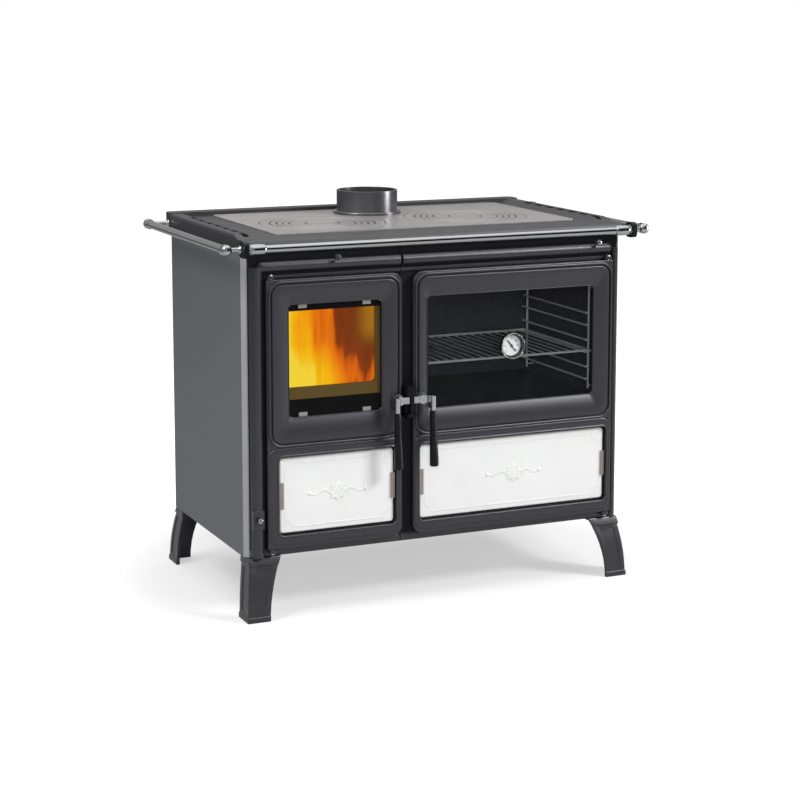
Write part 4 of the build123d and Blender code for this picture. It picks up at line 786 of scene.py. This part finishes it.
border_x = (window_x[0] + 2, window_x[1] - 1)
border_z = (window_z[0] + 39, window_z[1] - 15)
washed_x = (window_x[0] - 20, window_x[1] - 14)
washed_z = (window_z[0] + 67, window_z[1] + 20)
coat(ceramic_glass("printed_ceramic_glass", "#F4F0E4", (border_x, border_z), (washed_x, washed_z)),
     "fire_door_glass")
coat(ceramic_glass("clear_ceramic_glass", "#F0F1F2"), "oven_door_glass")

# ------------ oven
# The oven is a box of vitreous-enamelled steel, near black and glossy, with chromed wire runners on both
# sides and a wire shelf that rests on them.
oven_enamel = mottled("vitreous_oven_enamel", ("#4A4951", "#55545C"), 50, 2.5, 0.02, (0.22, 0.32), 1.0)
oven_wire = mottled("drawn_chromed_wire", ("#E6E6E7", "#F0F0F1"), 25, 1.5, 0.004, (0.22, 0.32), 0.4, metal=0.1)
coat(oven_enamel, "oven_box")
coat(oven_wire, "oven_runners", "oven_shelf")

# ------------ thermometer
# A turned stainless case stands in the oven glass, with a deep dark cup, a white printed dial and a black
# pointer. The dial carries plain tick marks and plain numbers only.
stainless = mottled("turned_stainless", ("#97989A", "#A6A7A9"), 10, 0.7, 0.008, (0.16, 0.26), 0.4, metal=1.0)
dark_paint_and_shade = mottled("dark_paint_and_painted_shade", ("#222326", "#2B2C2F"), 12, 0.8, 0.01, (0.4, 0.5))
thermo, (case_r, case_half, _) = middle_half("thermometer_case")
case_front = thermo[1] - case_half
(_, dial_y, _), (dial_r, dial_half, _) = middle_half("thermometer_dial")
glass_front, glass_back = span("oven_door_glass", 1)
floor_in = glass_front - case_front - 2
flange_r, stem_r, nut_r = 27, 5, 9
pane_in, pane_out, end_in = glass_front - case_front, glass_back - case_front, 2 * case_half
case_profile = [(floor_in, 0.1), (floor_in, dial_r + 0.4), (2.2, case_r - 2.6), (1.0, case_r - 2.3),
                (0.2, case_r - 1.9), (0, case_r - 1.4), (0.5, case_r - 0.5), (1.6, case_r), (3.2, case_r),
                (4.0, case_r - 1), (4.2, flange_r), (pane_in, flange_r), (pane_in, stem_r), (pane_out, stem_r),
                (pane_out, nut_r), (end_in, nut_r), (end_in, 0.1)]
centre = (thermo[0], case_front, thermo[2])
build("thermometer_body", [lathe(case_profile, centre, (0, 1, 0), 64)], stainless, "oven_door",
      ["thermometer_case"])
# The cup's inner wall is painted, as a thin sleeve inside the steel.
sleeve = [(1.3, case_r - 2.9), (1.3, case_r - 2.35), (floor_in - 0.1, dial_r + 0.35),
          (floor_in - 0.1, dial_r - 0.1)]
build("thermometer_sleeve", [lathe(sleeve, centre, (0, 1, 0), 64, wrap_rows=True)], dark_paint_and_shade, "oven_door")

dial_white = mottled("printed_dial_enamel", ("#B9BABB", "#C3C4C4"), 12, 1.5, 0.004, (0.3, 0.4))
coat(dial_white, "thermometer_dial")
print_black = mottled("black_dial_print", ("#141416", "#1C1C1E"), 4, 0.6, 0.002, (0.4, 0.5), 0.1)
dial_face = np.array([thermo[0], dial_y - dial_half, thermo[2]])
tick_in = 1.6
print_h = 0.15
shells = []
for index, turn in enumerate(np.radians(np.linspace(-135, 135, 31))):
    tick_l, tick_half = (2.0, 0.22) if index % 5 else (3.6, 0.42)
    out_way = np.array([np.sin(turn), 0, np.cos(turn)])
    wide = np.array([np.cos(turn), 0, -np.sin(turn)]) * tick_half
    tip, inner = out_way * (dial_r - tick_in), out_way * (dial_r - tick_in - tick_l)
    flat = dial_face + [tip + wide, tip - wide, inner - wide, inner + wide]
    grid = np.stack([flat, flat - (0, print_h, 0)])
    shells.append((grid, quads(grid)))
build("dial_ticks", shells, print_black, "oven_door")

number_h, number_in = 4.6, 8.4
ring = dial_r - number_in
for index, turn in enumerate(np.radians(np.linspace(-135, 135, 7))):
    name = f"dial_number_{index}"
    words = bpy.data.curves.new(name, "FONT")
    words.body = str(index * 50)
    words.size = number_h / 1000
    words.extrude = 0.00008
    words.align_x = words.align_y = "CENTER"
    written = new_object(name, words)
    mesh = bpy.data.meshes.new_from_object(written.evaluated_get(bpy.context.evaluated_depsgraph_get()))
    bpy.data.objects.remove(written)
    spot = dial_face + (ring * np.sin(turn), -0.1, ring * np.cos(turn))
    mesh.transform(Matrix.Translation(spot / 1000) @ Matrix.Rotation(math.pi / 2, 4, "X"))
    mesh.materials.clear()
    mesh.materials.append(print_black)
    mesh.update()
    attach(new_object(name, mesh), "oven_door")
coat(print_black, "thermometer_needle")

# ------------ latch handles
# A chromed lever and tube turn on a shaft through the boss, and a long black grip of moulded heatproof
# plastic hangs from the tube: slim at the top, swelling towards a rounded end.
coat(chrome, "fire_handle_lever", "oven_handle_lever")
black_grip = mottled("moulded_black_grip", ("#09090A", "#0D0D0E"), 30, 1.8, 0.01, (0.24, 0.32), shine=0.2)
grip_way = np.array([0, 0, 0.006, 0.02, 0.06, 0.15, 0.4, 0.65, 0.85, 0.95, 0.975, 0.99, 0.997, 1.0, 1.0])
grip_share = np.array([0.01, 0.62, 0.68, 0.715, 0.72, 0.73, 0.79, 0.89, 0.975, 1.0, 0.99, 0.95, 0.9, 0.82,
                       0.01])
for side, lean in (("fire", 3), ("oven", 4)):
    middle, half = middle_half(f"{side}_handle_grip")
    widest = half[1]
    top = middle + (widest - half[0] - lean, 0, half[2])
    foot = middle + (widest - half[0], 0, -half[2])
    length = np.linalg.norm(foot - top)
    profile = np.stack([grip_way * length, grip_share * widest], -1)
    build(f"{side}_grip", [lathe(profile, top, foot - top)], black_grip, f"{side}_handle",
          [f"{side}_handle_grip"])

# ------------ air and flue controls
# Steel pull rods with small turned knobs: a bright domed steel end set in a dark painted cone.
coat(zinc, "primary_air_slider", "secondary_air_slider", "damper_slider")
for name in ("primary_air", "secondary_air", "damper"):
    middle, (radius, half_l, _) = middle_half(f"{name}_knob")
    long = 2 * half_l
    middle[1] -= half_l
    cone = [(1.9, 0.05), (1.9, radius * 0.80), (2.4, radius * 0.93), (3.4, radius), (0.6 * long, radius),
            (0.7 * long, radius * 0.9), (long, radius * 0.8)]
    build(f"{name}_pull", [lathe(cone, middle, (0, 1, 0))], dark_paint_and_shade, name, [f"{name}_knob"])
    dome = [(0, 0.05), (0.1, radius * 0.3), (0.5, radius * 0.58), (1.1, radius * 0.72), (2.0, radius * 0.77),
            (2.4, radius * 0.77)]
    # The secondary air knob's dome takes the dark paint instead of steel: a painted reflection of the shade
    # under the hob, which its steel would mirror.
    build(f"{name}_pull_end", [lathe(dome, middle, (0, 1, 0))],
          dark_paint_and_shade if name == "secondary_air" else stainless, name)

# ------------ studio
# A pale floor and a white surround. Soft lamps stand high on the right, overhead and on the left, and a tall
# strip and a low fill draw edges. One dark card on the camera's side keeps the fronts from washing out.


def board(name, half_w, half_h, material):
    """A flat staged rectangle round the origin."""
    mesh = bpy.data.meshes.new(name)
    mesh.from_pydata([(-half_w, -half_h, 0), (half_w, -half_h, 0), (half_w, half_h, 0), (-half_w, half_h, 0)],
                     [], [(0, 1, 2, 3)])
    mesh.materials.append(material)
    flat = new_object(name, mesh)
    return flat


paper, add, shader, point = new_material("studio_paper", {"Base Color": linear("#9C9C9C"), "Roughness": 0.9})
# The paper turns into the white backdrop some way off, and keeps the stove's shadow near it.
far = add("VectorMath", {0: point}, operation="LENGTH")
fade = add("MapRange", {"Value": far, "From Min": 0.55, "From Max": 1.00, "To Min": 0.50, "To Max": 1.0},
           interpolation_type="SMOOTHSTEP")
strength = add("Math", {0: add("LightPath").outputs["Is Camera Ray"], 1: fade}, operation="MULTIPLY")
lift = add("Emission", {"Color": (1, 1, 1, 1), "Strength": strength})
feed(paper.node_tree.nodes["Material Output"], {"Surface": add("AddShader", {0: shader, 1: lift})})
board("studio_floor", 30, 30, paper)

world = bpy.data.worlds.new("studio")
bpy.context.scene.world = world
world.use_nodes = True
add = partial(add_node, world.node_tree)
seen = add("LightPath")
mirrored = add("MapRange", {"Value": seen.outputs["Is Glossy Ray"], "To Min": 0.14, "To Max": 0.42})
level = add("MapRange", {"Value": seen.outputs["Is Camera Ray"], "To Max": 1.0, "To Min": mirrored})
feed(world.node_tree.nodes["Background"], {"Color": (1, 1, 1, 1), "Strength": level})


def aim(thing, place, target):
    """Stand a lamp or a card at a place, in metres, looking at a target."""
    thing.location = place
    way = np.array(target, float) - np.array(place, float)
    flat = math.hypot(way[0], way[1])
    thing.rotation_euler = (math.atan2(flat, -way[2]), 0, math.atan2(-way[0], way[1]))


# What each of the choosy lamps shines on: the enamelled castings, the chrome, or the rest of either.
groups = {"castings": (cast_enamel, frame_enamel, hob_enamel), "chromed": (chrome,)}
chosen = {}
for name, finishes in groups.items():
    for group in (name, "not_" + name):
        chosen[group] = bpy.data.collections.new(group)
    for thing in bpy.context.scene.objects:
        finish = thing.data.materials[0] if thing.type == "MESH" and thing.data.materials else None
        chosen[name if finish in finishes else "not_" + name].objects.link(thing)
# The sheen lamp stands with the key and draws the soft highlights on the castings. The chrome has its own,
# weaker, overhead lamp, because it would mirror the other as plain white.
receivers = {"sheen_lamp": "castings", "right_strip": "not_castings", "top_lamp": "not_chromed",
             "chrome_lamp": "chromed"}
for name, place, target, size, power in (
        ("key_lamp", (3.1, -3.1, 3.2), (0, 0, 0.5), (1.2, 1.2), 255),
        ("top_lamp", (0.2, 0.2, 3.8), (0, 0, 0.6), (6.0, 5.0), 185),
        ("chrome_lamp", (0.2, 0.2, 3.8), (0, 0, 0.6), (6.0, 5.0), 95),
        ("left_lamp", (-2.2, -0.7, 2.8), (-0.5, 0, 0.8), (1.1, 1.2), 60),
        ("sheen_lamp", (3.1, -3.1, 3.2), (0, 0, 0.5), (1.6, 1.6), 300),
        ("right_strip", (3.4, -1.7, 0.9), (0, 0, 0.6), (0.9, 2.2), 160),
        ("fill_lamp", (-1.3, -3.6, 1.3), (0.25, 0, 0.5), (0.9, 0.9), 75)):
    lamp = bpy.data.lights.new(name, "AREA")
    lamp.shape = "RECTANGLE"
    lamp.size, lamp.size_y = size
    lamp.energy = power
    stand = new_object(name, lamp)
    aim(stand, place, target)
    # The strip and the sheen lamp are only mirrored; the key and the fill are not.
    stand.visible_diffuse = name not in ("right_strip", "sheen_lamp")
    stand.visible_glossy = name not in ("key_lamp", "fill_lamp")
    if name in receivers:
        stand.light_linking.receiver_collection = chosen[receivers[name]]

dark_felt = new_material("dark_felt_card", {"Base Color": linear("#0C0C0C"), "Roughness": 1.0})[0]
card = board("front_card", 1.7, 1.5, dark_felt)
aim(card, (2.0, -4.2, 1.85), (0, 0, 1.2))
card.visible_camera = card.visible_shadow = card.visible_diffuse = False

# The camera was fitted to the stove's straight edges in the picture.
camera = bpy.data.cameras.new("camera")
camera.sensor_width = 36
camera.lens = 90.72
camera.shift_y = -0.14
viewer = new_object("camera", camera)
viewer.location = (-1.9420, -4.4065, 1.3862)
viewer.rotation_euler = (math.radians(90 - 8.191), 0, math.radians(-23.946))
bpy.context.scene.camera = viewer
bpy.context.scene.view_settings.view_transform = "Standard"
